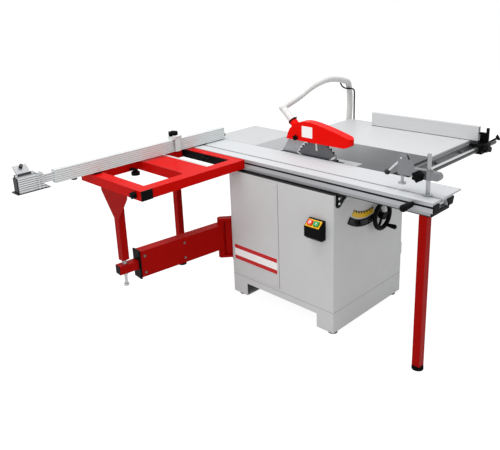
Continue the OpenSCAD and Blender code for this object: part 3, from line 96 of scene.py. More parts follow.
MOTTLE_DETAIL = 4.0
MOTTLE_ROUGHNESS = 0.55
RELIEF_DETAIL = 2.0
RELIEF_STRENGTH = 0.6


class Body(Enum):
    """Moving bodies of the frame that the extra pieces ride on."""

    BASE = "base"
    TILT = "tilt_unit"
    TABLE = "table"
    START = "start_button"
    STOP = "stop_button"


class Axis(Enum):
    """Axes by their number in a point."""

    X = 0
    Y = 1
    Z = 2


class Mix(Enum):
    """What a mix node mixes, by Blender's name."""

    COLOUR = "RGBA"
    NUMBER = "FLOAT"


class Place:
    """Turns blade-frame millimetres into the frame's metres."""

    def __init__(self) -> None:
        """Reads the blade plane and the arbor line from the frame."""
        low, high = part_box("saw_blade")
        self.shift = np.array([(low.x + high.x) / 2, (low.y + high.y) / 2, 0.0])

    def array(self, points: np.ndarray) -> np.ndarray:
        """Places many points.

        Args:
            points: Array whose last axis holds x, y and z in millimetres.

        Returns:
            The same array in the frame, in metres.
        """
        return np.asarray(points, float) * MM + self.shift

    def point(self, p: Point) -> Vector:
        """Places one point.

        Args:
            p: Point in millimetres about the blade.

        Returns:
            The point in the frame, in metres.
        """
        return Vector(self.array(np.array(p)))

    def level(self, direction: Point, distance: float) -> float:
        """Places a plane.

        Args:
            direction: Normal of the plane.
            distance: Its distance from the blade's origin along that normal, in millimetres.

        Returns:
            The distance from the frame's origin in metres.
        """
        return distance * MM + float(np.dot(direction, self.shift))


def linear(colour: str) -> tuple[float, float, float, float]:
    """Turns an sRGB colour into linear light by the standard sRGB curve.

    Args:
        colour: Hex text such as "#B4B4B4".

    Returns:
        Red, green, blue and alpha.
    """
    parts = [int(colour[i : i + 2], 16) / 255 for i in (1, 3, 5)]
    light = [c / 12.92 if c <= 0.04045 else ((c + 0.055) / 1.055) ** 2.4 for c in parts]
    return (light[0], light[1], light[2], 1.0)


def add_node(tree: Tree, kind: str, values: dict | None = None, **settings: object) -> bpy.types.Node:
    """Adds one shader node.

    Args:
        tree: Node tree of the material.
        kind: Blender's node type.
        values: Input name or number to a constant or to the output socket that feeds it.
        settings: Properties of the node itself.

    Returns:
        The new node.
    """
    made = tree.nodes.new(kind)
    for name, value in settings.items():
        setattr(made, name, value)
    for name, value in (values or {}).items():
        socket = made.inputs[name]
        if isinstance(value, Socket):
            tree.links.new(value, socket)
        else:
            socket.default_value = value
    return made


def add_math(tree: Tree, kind: str, *values: object) -> Socket:
    """Adds one sum, product or test.

    Args:
        tree: Node tree of the material.
        kind: Blender's name of the operation.
        values: Its inputs in order, constants or sockets.

    Returns:
        The result.
    """
    return add_node(tree, "ShaderNodeMath", dict(enumerate(values)), operation=kind).outputs[0]


@dataclass(frozen=True)
class Limit:
    """Slice of space between two parallel planes.

    Attributes:
        direction: Unit normal of the planes.
        low: Distance of the nearer plane along it.
        high: Distance of the farther plane.
    """

    direction: Point
    low: float = -FAR
    high: float = FAR


@dataclass(frozen=True)
class Coat:
    """Even look of a small part, or of a band of painted shade or reflection.

    Attributes:
        colour: sRGB colour.
        roughness: Mean roughness.
        metallic: 1 for bare metal.
    """

    colour: str
    roughness: float
    metallic: float = 0.0


@dataclass(frozen=True)
class Zone:
    """Part of a piece that has a look of its own, such as a black cap on a red tube or a band of painted shade.

    Attributes:
        coat: Its look.
        limits: Slices that the part lies in, all at once.
    """

    coat: Coat
    limits: tuple[Limit, ...]


@dataclass(frozen=True)
class Canvas:
    """Node tree of one material, with what a finish needs to paint by place.

    Attributes:
        tree: Node tree of the material.
        at: Object coordinates in metres.
        place: Frame placement.
    """

    tree: Tree
    at: Socket
    place: Place

    def coordinate(self, axis: Axis) -> Socket:
        """Gives one of the object coordinates.

        Args:
            axis: Its axis.

        Returns:
            The coordinate in metres.
        """
        return add_node(self.tree, "ShaderNodeSeparateXYZ", {"Vector": self.at}).outputs[axis.value]

    def mixed(self, kind: Mix, share: Socket, a: object, b: object) -> Socket:
        """Mixes two values by a share.

        Args:
            kind: What is mixed.
            share: 0 gives a and 1 gives b.
            a: First value, a constant or a socket.
            b: Second value.

        Returns:
            The mixed value.
        """
        made = add_node(self.tree, "ShaderNodeMix", {"Factor": share, "A": a, "B": b}, data_type=kind.value)
        return made.outputs["Result"]

    def mask(self, zone: Zone) -> Socket:
        """Tells where a zone is: 1 where the point lies between both planes of every limit.

        Args:
            zone: The zone.

        Returns:
            1 inside and 0 outside.
        """
        inside = None
        for limit in zone.limits:
            low, high = (self.place.level(limit.direction, d) for d in (limit.low, limit.high))
            along = add_node(self.tree, "ShaderNodeVectorMath", {0: self.at, 1: limit.direction},
                             operation="DOT_PRODUCT").outputs["Value"]
            test = add_math(self.tree, "COMPARE", along, (low + high) / 2, (high - low) / 2)
            inside = test if inside is None else add_math(self.tree, "MULTIPLY", inside, test)
        return inside


@dataclass(frozen=True)
class Finish:
    """One surface finish, with mottling and fine relief on object coordinates.

    Attributes:
        name: Name of the finish.
        colour: Main sRGB colour.
        shade: Second sRGB colour of the mottling.
        roughness: Mean roughness.
        metallic: 1 for bare metal.
        mottle: Mottles per metre.
        stretch: Factor on each axis, below 1 where the grain runs along that axis.
        relief: Height of the fine relief in metres.
        relief_scale: Relief bumps per metre.
        specular: Specular level of the shader.
        patchy: Spread of the roughness round its mean.
        zones: Parts with a look of their own, among them bands of painted shade and painted reflection.
    """

    name: str
    colour: str
    shade: str
    roughness: float
    metallic: float = 0.0
    mottle: float = 9.0
    stretch: Point = (1.0, 1.0, 1.0)
    relief: float = 0.0
    relief_scale: float = 900.0
    specular: float = 0.35
    patchy: float = 0.06
    zones: tuple[Zone, ...] = ()

    def material(self, place: Place) -> Material:
        """Builds the finish as a procedural material.

        Args:
            place: Frame placement.

        Returns:
            The material.
        """
        made = bpy.data.materials.new(self.name)
        made.use_nodes = True
        tree = made.node_tree
        tree.nodes.clear()
        canvas = Canvas(tree, add_node(tree, "ShaderNodeTexCoord").outputs["Object"], place)
        grain = add_node(tree, "ShaderNodeMapping", {"Vector": canvas.at, "Scale": self.stretch}).outputs["Vector"]
        noise = add_node(tree, "ShaderNodeTexNoise", {
            "Vector": grain, "Scale": self.mottle, "Detail": MOTTLE_DETAIL,
            "Roughness": MOTTLE_ROUGHNESS}).outputs["Fac"]
        tint = self.painted(canvas, canvas.mixed(Mix.COLOUR, noise, linear(self.colour), linear(self.shade)))
        sheen = add_node(tree, "ShaderNodeMapRange", {
            "Value": noise, "To Min": self.roughness - self.patchy,
            "To Max": self.roughness + self.patchy}).outputs["Result"]
        metal = self.metallic
        for zone in self.zones:
            inside = canvas.mask(zone)
            tint = canvas.mixed(Mix.COLOUR, inside, tint, linear(zone.coat.colour))
            sheen = canvas.mixed(Mix.NUMBER, inside, sheen, zone.coat.roughness)
            metal = canvas.mixed(Mix.NUMBER, inside, metal, zone.coat.metallic)
        shader = add_node(tree, "ShaderNodeBsdfPrincipled", {
            "Base Color": tint, "Roughness": sheen, "Metallic": metal, "Specular IOR Level": self.specular})
        if self.relief > 0:
            fine = add_node(tree, "ShaderNodeTexNoise", {
                "Vector": grain, "Scale": self.relief_scale, "Detail": RELIEF_DETAIL}).outputs["Fac"]
            bump = add_node(tree, "ShaderNodeBump", {
                "Height": fine, "Distance": self.relief, "Strength": RELIEF_STRENGTH})
            tree.links.new(bump.outputs["Normal"], shader.inputs["Normal"])
        add_node(tree, "ShaderNodeOutputMaterial", {"Surface": shader.outputs["BSDF"]})
        return made

    def painted(self, canvas: Canvas, tint: Socket) -> Socket:
        """Lets a special finish change the colour by place.

        Args:
            canvas: Node tree with its coordinates.
            tint: Mottled colour.

        Returns:
            The colour that the shader takes.
        """
        return tint


@dataclass(frozen=True)
class RuledFinish(Finish):
    """Finish with lines across one axis, such as the printed divisions of a scale or the painted shade of grooves.

    Attributes:
        axis: Axis that the lines count along.
        pitch: Distance between lines in metres.
        start: Place of the first line on that axis in metres.
        share: Share of the pitch that a line takes.
        line_colour: sRGB colour of the lines: the print of a scale, and the painted shade of grooves.
    """

    axis: Axis = Axis.X
    pitch: float = 0.01
    start: float = 0.0
    share: float = 0.2
    line_colour: str = "#202020"

    def painted(self, canvas: Canvas, tint: Socket) -> Socket:
        """Mixes the lines in where the remainder of the place over the pitch is below the share.

        Args:
            canvas: Node tree with its coordinates.
            tint: Mottled colour.

        Returns:
            The colour with lines.
        """
        calc = partial(add_math, canvas.tree)
        after = calc("SUBTRACT", canvas.coordinate(self.axis), self.start)
        line = calc("LESS_THAN", calc("FRACT", calc("DIVIDE", after, self.pitch)), self.share)
        return canvas.mixed(Mix.COLOUR, line, tint, linear(self.line_colour))


@dataclass(frozen=True)
class PaintedLightFinish(Finish):
    """Finish with painted light: its colour drifts along one axis, as a wide ground face looks under a long lamp.

    Attributes:
        axis: Axis that the colour drifts along.
        span: Where the drift starts and ends.
        far: sRGB colour of the painted light at its end.
    """

    axis: Axis = Axis.Y
    span: Pair = (0.0, 100.0)
    far: str = "#FFFFFF"

    def painted(self, canvas: Canvas, tint: Socket) -> Socket:
        """Mixes the painted light of the far end in by the share of the span that is passed.

        Args:
            canvas: Node tree with its coordinates.
            tint: Mottled colour.

        Returns:
            The drifting colour.
        """
        low, high = (d * MM + float(canvas.place.shift[self.axis.value]) for d in self.span)
        share = add_node(canvas.tree, "ShaderNodeMapRange", {
            "Value": canvas.coordinate(self.axis), "From Min": low, "From Max": high},
            interpolation_type="SMOOTHSTEP").outputs["Result"]
        return canvas.mixed(Mix.COLOUR, share, tint, linear(self.far))


@dataclass(frozen=True)
class SawPlateFinish(Finish):
    """Ground plate with dark tooth tips and a painted highlight along its slots.

    Attributes:
        arbor: Height of the blade's axis.
        rim: Radius from which the tips are dark.
        slots: Number of slots.
        first: Angle of the first slot in degrees, from y towards z.
        slot_start: Radius at which the slots start.
        slot_half: Half the width of the painted highlight along a slot.
        tip: sRGB colour of the tips.
        edge: sRGB colour of the painted highlight along the slots.
    """

    arbor: float = 790.0
    rim: float = 146.0
    slots: int = 6
    first: float = 26.0
    slot_start: float = 96.0
    slot_half: float = 5.5
    tip: str = "#1B1B1C"
    edge: str = "#F2F2F0"

    def painted(self, canvas: Canvas, tint: Socket) -> Socket:
        """Paints by radius and by the distance from the nearest slot line.

        That distance is the angle to the line times the radius.

        Args:
            canvas: Node tree with its coordinates.
            tint: Mottled colour.

        Returns:
            The painted colour.
        """
        calc = partial(add_math, canvas.tree)
        step = 2 * math.pi / self.slots
        y = calc("SUBTRACT", canvas.coordinate(Axis.Y), float(canvas.place.shift[1]))
        z = calc("SUBTRACT", canvas.coordinate(Axis.Z), self.arbor * MM)
        radius = calc("SQRT", calc("ADD", calc("MULTIPLY", y, y), calc("MULTIPLY", z, z)))
        turn = calc("SUBTRACT", calc("ARCTAN2", z, y), math.radians(self.first))
        near = calc("SUBTRACT", calc("FRACT", calc("ADD", calc("DIVIDE", turn, step), 0.5)), 0.5)
        gap = calc("MULTIPLY", calc("MULTIPLY", calc("ABSOLUTE", near), step), radius)
        slot = calc("MULTIPLY", calc("LESS_THAN", gap, self.slot_half * MM),
                    calc("GREATER_THAN", radius, self.slot_start * MM))
        tint = canvas.mixed(Mix.COLOUR, slot, tint, linear(self.edge))
        return canvas.mixed(Mix.COLOUR, calc("GREATER_THAN", radius, self.rim * MM), tint, linear(self.tip))


# The swing arm's own axes: along it from the hinge, and out of the face that the photo shows.
ARM_HINGE = (-320.0, 470.0)
ARM_END = (-950.0, 542.0)
ARM_HALF = 30.0
ARM_REACH = math.dist(ARM_HINGE, ARM_END)
ARM_ALONG = ((ARM_END[0] - ARM_HINGE[0]) / ARM_REACH, (ARM_END[1] - ARM_HINGE[1]) / ARM_REACH, 0.0)
ARM_OUT = (-ARM_ALONG[1], ARM_ALONG[0], 0.0)
ARM_START = ARM_ALONG[0] * ARM_HINGE[0] + ARM_ALONG[1] * ARM_HINGE[1]
ARM_FACE = ARM_OUT[0] * ARM_HINGE[0] + ARM_OUT[1] * ARM_HINGE[1] + ARM_HALF

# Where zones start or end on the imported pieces, each on its zone's own axis.
ARM_CAP = ARM_START + 554.2
ARM_BOLTS = (ARM_START + 100.0, ARM_START + 553.0)
ARM_BOLT_FOOT = ARM_FACE + 0.3
TUBE_PLUG = ARM_START + ARM_REACH + 40.2
TUBE_LOW, TUBE_HIGH = 340.8, 389.2
CABINET_RIM = 776.0
PLINTH_RIM = 131.0
COVER_SEAM = 43.2
PANEL_TOP = 845.6
PANEL_GAP_X = (-652.6, -648.6)
PANEL_GAP_Y = (398.0, 724.0)
SLIDE_SIDE = -261.8
SLIDE_TOP = 848.0
SLIDE_GROOVE = (823.3, 832.7)
RAIL_FOOT = 786.5
FENCE_FOOT = 856.8
FENCE_END = -22.8
STOP_FOOT = 855.95
STOP_END = -1371.0
PLANK_FOOT = 854.5
BAR_BAND = 825.0
GLAND_TOP = 224.8
FLAP_OUT = (0.0, -0.669, 0.743)
FLAP_KNOB = (195.4, 400.0)
LEVER_WAY = (0.0, 0.693, -0.72)
LEVER_BALL = -1071.0

# Black plastic parts. The same black is also painted shade in the outrigger's panel gap and along the crosscut
# fence's foot.
BLACK_PLASTIC_AND_SHADE = Coat("#0C0C0D", 0.46)
# Painted shade: a near-black for the cabinet's rim under the rail, the slide's side groove and the rail's foot.
PAINTED_SHADE = Coat("#1C1D1E", 0.6)
SEAM = Coat("#707173", 0.6)
ZINC = Coat("#B4B6B8", 0.32, 0.9)

# Colours and values that several finishes share.
GREY = ("#CECFCF", "#C7C8C9")
RED = ("#A30A06", "#9A0905")
BLACK = ("#0B0B0C", "#070708")
POWDER_COAT = {"roughness": 0.44, "relief": 0.00008, "patchy": 0.03}
ENAMEL = {"roughness": 0.34, "relief": 0.00003, "specular": 0.03}
SHEET = {"roughness": 0.38, "patchy": 0.03}
DRAWN_ALONG_X = {"mottle": 40.0, "stretch": (0.05, 1.0, 1.0)}
DRAWN_ALONG_Y = {"mottle": 40.0, "stretch": (1.0, 0.05, 1.0)}
DRAWING_LINES = {"relief": 0.00003, "relief_scale": 600.0}
# Places of the groove lines on the fence extrusions, drawn as painted shade.
GROOVES = {"axis": Axis.Z, "pitch": 0.0108, "start": 0.863, "share": 0.37}

FINISHES = {
    # Powder coat: fine orange peel and hardly any mottling.
    # The cabinet's top rim, which lies under the rail, is painted shade.
    "cabinet_paint": Finish(
        "light grey powder coat, shaded under the rail", *GREY, **POWDER_COAT,
        zones=(Zone(PAINTED_SHADE, (Limit(Z_AXIS, low=CABINET_RIM),)),)),
    "plinth_paint": Finish(
        "light grey powder coat with a dark top seam", *GREY, **POWDER_COAT,
        zones=(Zone(SEAM, (Limit(Z_AXIS, low=PLINTH_RIM),)),)),
    "cover_paint": Finish(
        "light grey powder coat with a dark front seam", *GREY, **POWDER_COAT,
        zones=(Zone(SEAM, (Limit(Y_AXIS, high=COVER_SEAM),)),)),
    # Enamel: an even deep red with a soft gloss.
    "red_paint": Finish("red enamel on steel", *RED, **ENAMEL),
    "arm_red": Finish("red enamel with black cap and dull bolts", *RED, **ENAMEL, zones=(
        Zone(BLACK_PLASTIC_AND_SHADE, (Limit(ARM_ALONG, low=ARM_CAP),)),
        Zone(Coat("#6E6866", 0.40, 0.5), (Limit(ARM_ALONG, *ARM_BOLTS), Limit(ARM_OUT, low=ARM_BOLT_FOOT))))),
    "tube_red": Finish("red enamel with black plug and zinc rod", *RED, **ENAMEL, zones=(
        Zone(BLACK_PLASTIC_AND_SHADE, (Limit(ARM_ALONG, low=TUBE_PLUG),)),
        Zone(ZINC, (Limit(Z_AXIS, high=TUBE_LOW),)),
        Zone(ZINC, (Limit(Z_AXIS, low=TUBE_HIGH),)))),
    # The outrigger frame's red is painted lighter than the other red enamel as painted light from above, and the
    # black line beside the panel is painted shade in the gap.
    "frame_red": Finish("red enamel with the dark gap beside the panel", "#CA0B06", "#C00A05", **ENAMEL, zones=(
        Zone(BLACK_PLASTIC_AND_SHADE, (
            Limit(Z_AXIS, low=PANEL_TOP), Limit(X_AXIS, *PANEL_GAP_X), Limit(Y_AXIS, *PANEL_GAP_Y))),)),
    # Moulded plastic: brighter and more orange than the enamel.
    "guard_red": Finish("bright red moulded plastic", "#EC120C", "#E60F09", 0.30, specular=0.05),
    # Ground iron: lengthwise grinding marks, and painted light that makes it brighter towards the back.
    "iron": PaintedLightFinish(
        "ground cast iron", "#5A5C5E", "#4C4E50", 0.36, metallic=0.9, mottle=60.0, stretch=(1.0, 0.06, 1.0),
        relief=0.00004, relief_scale=500.0, span=(-380.0, 420.0), far="#B0B2B4"),
    # Coated sheet: flat and even, with a soft sheen.
    "sheet_grey": Finish("light grey coated sheet", "#C4C5C6", "#BEBFC0", **SHEET),
    "outfeed_grey": Finish("light grey coated outfeed sheet", "#B8B9BA", "#B2B3B4", **SHEET),
    # Extrusions: drawing lines along their length.
    "alu": Finish(
        "anodised aluminium extrusion", "#C6C8CA", "#B4B6B9", 0.38, metallic=0.8, **DRAWN_ALONG_Y, **DRAWING_LINES),
    # The slide's sides take a darker, more metallic coat, and the dark band along its side groove is painted shade.
    "slide_alu": Finish(
        "anodised slide extrusion with a dark groove", "#C6C8CA", "#B9BBBE", 0.60, metallic=0.08, specular=0.25,
        **DRAWN_ALONG_Y, **DRAWING_LINES, zones=(
            Zone(Coat("#B0B2B5", 0.42, 0.4), (Limit(X_AXIS, high=SLIDE_SIDE), Limit(Z_AXIS, high=SLIDE_TOP))),
            Zone(PAINTED_SHADE, (Limit(X_AXIS, high=SLIDE_SIDE), Limit(Z_AXIS, *SLIDE_GROOVE))))),
    # The rail's dark foot is a painted shadow line above the cabinet's top.
    "rail_alu": Finish(
        "anodised rail with a shaded foot", "#A2A4A7", "#96989B", 0.38, metallic=0.5, **DRAWN_ALONG_Y,
        zones=(Zone(PAINTED_SHADE, (Limit(Z_AXIS, high=RAIL_FOOT),)),)),
    # Fence extrusions: shallow grooves along the face, drawn as lines of painted shade a little darker than the
    # lands.
    # On the crosscut fence the black band along the foot is a painted shadow line, and its slight cyan tint is
    # painted to cancel the red light bounced from the frame.
    "fence_alu": RuledFinish(
        "anodised fence extrusion", "#E4E9E9", "#DADFDF", 0.46, metallic=0.05, specular=0.15, line_colour="#CCD2D3",
        **DRAWN_ALONG_X, **DRAWING_LINES, **GROOVES, zones=(
            Zone(BLACK_PLASTIC_AND_SHADE, (Limit(Z_AXIS, high=FENCE_FOOT),)),
            Zone(BLACK_PLASTIC_AND_SHADE, (Limit(X_AXIS, low=FENCE_END),)))),
    "stop_alu": RuledFinish(
        "anodised stop with black fittings", "#E6E8EA", "#DADCDE", 0.46, metallic=0.05, line_colour="#9A9DA0",
        **DRAWN_ALONG_X, **GROOVES, zones=(
            Zone(BLACK_PLASTIC_AND_SHADE, (Limit(Z_AXIS, high=STOP_FOOT),)),
            Zone(BLACK_PLASTIC_AND_SHADE, (Limit(X_AXIS, high=STOP_END),)))),
    "flap_steel": Finish(
        "flap plate with black knob", "#8E9092", "#828486", 0.40, metallic=0.4, mottle=30.0,
        zones=(Zone(BLACK_PLASTIC_AND_SHADE, (Limit(FLAP_OUT, *FLAP_KNOB),)),)),
    "flap_alu": Finish(
        "matt anodised flip stop", "#DDE5E5", "#D2DADA", 0.50, metallic=0.05, specular=0.15, mottle=40.0,
        stretch=(1.0, 1.0, 0.05)),
    # The dark band along the plank's foot is a painted shadow line where it meets the table.
    "rip_alu": Finish(
        "bright anodised fence plank", "#D2D4D5", "#C9CBCC", 0.42, metallic=0.3, **DRAWN_ALONG_Y, **DRAWING_LINES,
        zones=(Zone(Coat("#6E7072", 0.5, 0.2), (Limit(Z_AXIS, high=PLANK_FOOT),)),)),
    "scale_alu": RuledFinish(
        "dark scale rail with printed divisions", "#66686A", "#5A5C5E", 0.40, metallic=0.5, share=0.14,
        line_colour="#B4B6B6", **DRAWN_ALONG_X),
    # Bare and plated metal: from the dull saw plate to the mirror of the chrome.
    # The guide bar's dark lower band is a painted reflection.
    "bar_chrome": Finish(
        "chromed guide bar with a dark band mirrored in it", "#D2D4D6", "#C8CACC", 0.20, metallic=0.9, patchy=0.02,
        zones=(Zone(Coat("#3A3B3D", 0.40, 0.2), (Limit(Z_AXIS, high=BAR_BAND),)),)),
    "steel": Finish("bright machined steel", "#B4B6B8", "#A4A6A8", 0.32, metallic=0.95, mottle=30.0),
    # The saw plate's bright bands along its slots are a painted highlight.
    "saw_plate": SawPlateFinish("ground saw plate", "#707275", "#636568", 0.34, metallic=0.8, mottle=40.0),
    "chrome": Finish("chromed bar", "#A4A6A8", "#989A9C", 0.20, metallic=1.0, patchy=0.02),
    "lever_chrome": Finish(
        "chromed lever with black ball", "#DADCDE", "#D2D4D6", 0.12, metallic=1.0, patchy=0.02,
        zones=(Zone(BLACK_PLASTIC_AND_SHADE, (Limit(LEVER_WAY, low=LEVER_BALL),)),)),
    "zinc": Finish("zinc plated steel", "#B4B6B8", "#A0A2A5", 0.30, metallic=0.9, mottle=60.0),
    "brass": Finish("brass cage", "#C9A04A", "#B88F3C", 0.35, metallic=0.9),
    # Blacks: nearly no gloss, so that they stay black in the white studio.
    "black": Finish("black moulded plastic", *BLACK, 0.50, relief=0.00003, specular=0.05),
    "black_metal": Finish("black enamel on iron", *BLACK, 0.46, specular=0.06),
    "rubber": Finish("black rubber", "#0B0B0B", "#070707", 0.75, specular=0.05),
    # Castings: coarse grain under the paint or plating.
    "casting": Finish(
        "grey painted casting", "#8F9193", "#828486", 0.50, mottle=25.0, relief=0.0001, relief_scale=350.0),
    "clamp_casting": Finish(
        "plated clamp casting", "#88898C", "#77797C", 0.36, metallic=0.75, mottle=40.0, relief=0.00006,
        relief_scale=400.0),
    "motor_grey": Finish("motor enamel", "#5C646C", "#525A62", 0.45),
    # Coloured plastics: even, with a soft gloss.
    "inlet": Finish(
        "light grey inlet with a red gland", "#DCDCDA", "#D4D4D2", 0.42,
        zones=(Zone(Coat("#B21612", 0.40), (Limit(Z_AXIS, high=GLAND_TOP),)),)),
    "yellow": Finish("yellow moulded plastic", "#F0B70C", "#EAAE08", 0.36),
    "green": Finish("green button plastic", "#2C9A50", "#248C46", 0.34),
    "stop_red": Finish("red button plastic", "#E03A2E", "#D63226", 0.34),
    # Hose plastic: a matt off-white that shows grey towards its edges.
    "hose_white": Finish("off-white hose plastic", "#D9D9D8", "#D3D3D2", 0.48),
    # Plates and prints: flat colours.
    "label_white": Finish("white plastic plate", "#FAFAF9", "#F5F5F4", 0.38),
    "label_red": Finish("red printed band", "#C8181A", "#BC1416", 0.42, specular=0.2),
    "tilt_yellow": Finish("yellow scale plate", "#E6B80E", "#DDAF0A", 0.40),
    "line_colour": Finish("black print", "#161616", "#101010", 0.50),
}

NODE_FINISHES = {
    "swing_arm": "arm_red", "inner_tube": "tube_red", "crosscut_fence": "fence_alu", "rip_fence": "rip_alu",
    "end_stop": "stop_alu", "end_flap": "flap_steel", "rail_scale": "scale_alu", "saw_blade": "saw_plate",
    "clamp_lever": "lever_chrome", "clamp_arm": "clamp_casting", "power_inlet": "inlet",
    "plinth": "plinth_paint", "side_cover": "cover_paint", "outrigger_frame": "frame_red",
    "outfeed_table": "outfeed_grey", "cabinet": "cabinet_paint", "sliding_table": "slide_alu",
    "slide_rail": "rail_alu", "rip_rail": "bar_chrome", "stop_flap": "flap_alu", "fence_stop": "flap_alu",
}


@dataclass
class Palette:
    """Materials by finish name, each made once.

    Attributes:
        place: Frame placement.
        made: The materials so far.
    """

    place: Place
    made: dict[str, Material] = field(default_factory=dict)

    def get(self, name: str) -> Material:
        """Gives one material.

        Args:
            name: Key in FINISHES.

        Returns:
            The material, made on first use.
        """
        if name not in self.made:
            self.made[name] = FINISHES[name].material(self.place)
        return self.made[name]


def grid_faces(rows: int, count: int, closed: bool) -> np.ndarray:
    """Quads of a grid of points stored row by row.

    Args:
        rows: Rows of points.
        count: Points in a row.
        closed: True where each row's last point joins its first.

    Returns:
        One row of four vertex numbers for each quad.
    """
    row, col = np.meshgrid(np.arange(rows - 1), np.arange(count if closed else count - 1), indexing="ij")
    after = (col + 1) % count
    quads = np.stack([row * count + col, row * count + after, (row + 1) * count + after, (row + 1) * count + col], -1)
    return quads.reshape(-1, 4)


def mesh_piece(name: str, points: np.ndarray, quads: np.ndarray, material: Material,
               caps: tuple[np.ndarray, ...] = (), smooth: bool = False) -> Piece:
    """Makes a mesh object at the origin.

    Args:
        name: Name of the piece.
        points: Points in metres.
        quads: Four vertex numbers for each face.
        material: Its finish.
        caps: Further faces with any number of corners.
        smooth: True for smooth shading.

    Returns:
        The object.
    """
    data = bpy.data.meshes.new(name)
    data.from_pydata(points.reshape(-1, 3).tolist(), [], quads.tolist() + [cap.tolist() for cap in caps])
    flags = np.full(len(data.polygons), smooth)
    flags[len(quads):] = False
    data.polygons.foreach_set("use_smooth", flags)
    data.materials.append(material)
    data.update()
    made = bpy.data.objects.new(name, data)
    bpy.context.scene.collection.objects.link(made)
    LOG.info("piece %s: %d faces", name, len(data.polygons))
    return made


def ring_piece(name: str, rings: np.ndarray, material: Material, smooth: bool = False) -> Piece:
    """Joins closed rings of points into a piece with a flat cap at both ends.

    Args:
        name: Name of the piece.
        rings: Points in metres, one row for each ring.
        material: Its finish.
        smooth: True for smooth shading.

    Returns:
        The object.
    """
    rows, count = rings.shape[:2]
    first = np.arange(count)
    caps = (first[::-1], (rows - 1) * count + first)
    return mesh_piece(name, rings, grid_faces(rows, count, True), material, caps, smooth)


def unit_ring(side: np.ndarray, up: np.ndarray, count: int) -> np.ndarray:
    """Unit vectors that turn once from side over up.

    Args:
        side: First unit vector, or one for each ring.
        up: Second unit vector, square to it.
        count: Vectors in a ring.

    Returns:
        The vectors, with those of a ring on the last axis but one.
    """
    turn = np.linspace(0, 2 * math.pi, count, endpoint=False)[:, None]
    return np.cos(turn) * side + np.sin(turn) * up


def frames_along(path: np.ndarray) -> tuple[np.ndarray, np.ndarray]:
    """Side and up vectors carried along a path without twist.

    Args:
        path: Points in a row, with a start that is not upright.

    Returns:
        Two arrays of unit vectors, square to the path at each point.
    """
    tangent = np.gradient(path, axis=0)
    tangent /= np.linalg.norm(tangent, axis=1)[:, None]
    side = np.cross(tangent[0], Z_AXIS)
    sides = []
    for t in tangent:
        side = side - (side @ t) * t
        side = side / np.linalg.norm(side)
        sides.append(side)
    return np.array(sides), np.cross(tangent, np.array(sides))


def smooth_path(points: np.ndarray, steps: int) -> np.ndarray:
    """Catmull-Rom curve through points.

    Args:
        points: Route points.
        steps: Parts between two route points.

    Returns:
        Points on the curve, ends included.
    """
    padded = np.concatenate([points[:1], points, points[-1:]])
    a, b, c, d = (padded[i : len(points) - 1 + i, None, :] for i in range(4))
    u = (np.arange(steps) / steps)[None, :, None]
    curve = 0.5 * (2 * b + (c - a) * u + (2 * a - 5 * b + 4 * c - d) * u**2 + (3 * b - a - 3 * c + d) * u**3)
    return np.concatenate([curve.reshape(-1, 3), points[-1:]])


@dataclass
class Assembly:
    """Sub-assembly of extra pieces.

    Attributes:
        place: Frame placement.
        palette: Materials.
    """

    place: Place
    palette: Palette

    def turned(self, name: str, base: Point, axis: Point, profile: tuple[Pair, ...], finish: str,
               count: int = 24) -> Piece:
        """Turns a profile about an axis: base plus height along it plus radius times a turning unit vector.

        Args:
            name: Name of the piece.
            base: Foot of the axis.
            axis: Direction of the axis, not upright.
            profile: Radius and height of each ring.
            finish: Key in FINISHES.
            count: Points in a ring.

        Returns:
            The object, closed at both ends.
        """
        main = np.array(axis, float) / np.linalg.norm(axis)
        side = np.cross(Z_AXIS, main)
        side /= np.linalg.norm(side)
        ring = unit_ring(side, np.cross(main, side), count)
        shape = np.array(profile, float)
        grid = np.array(base, float) + shape[:, 1, None, None] * main + shape[:, 0, None, None] * ring
        return ring_piece(name, self.place.array(grid), self.palette.get(finish))

    def plate(self, name: str, centre: Point, right: Point, up: Point, size: Point, corner: float,
              finish: str) -> Piece:
        """Makes a plate with round corners and an eased front edge.

        Its outline is the rectangle of the corner centres plus the corner radius times a turning unit vector, drawn
        at the back, near the front and, drawn in a little, at the front.

        Args:
            name: Name of the piece.
            centre: Middle of the back face.
            right: Unit vector along the width.
            up: Unit vector along the height.
            size: Width, height and thickness.
            corner: Corner radius.
            finish: Key in FINISHES.

        Returns:
            The object, closed.
        """
        steps = 6
        turn = (np.arange(4)[:, None] * math.pi / 2 + np.linspace(0, math.pi / 2, steps)[None, :]).reshape(-1)
        sign = np.repeat(np.array([(1, 1), (-1, 1), (-1, -1), (1, -1)], float), steps, axis=0)
        half = np.array([size[0] / 2 - corner, size[1] / 2 - corner])
        ease = min(corner, size[2]) / 2
        rows = np.array([(corner, 0.0), (corner, size[2] - ease), (corner - ease, size[2])])
        flat = sign * half + rows[:, 0, None, None] * np.stack([np.cos(turn), np.sin(turn)], -1)
        axes = np.array([right, up], float)
        grid = np.array(centre, float) + flat @ axes + rows[:, 1, None, None] * np.cross(axes[0], axes[1])
        return ring_piece(name, self.place.array(grid), self.palette.get(finish))


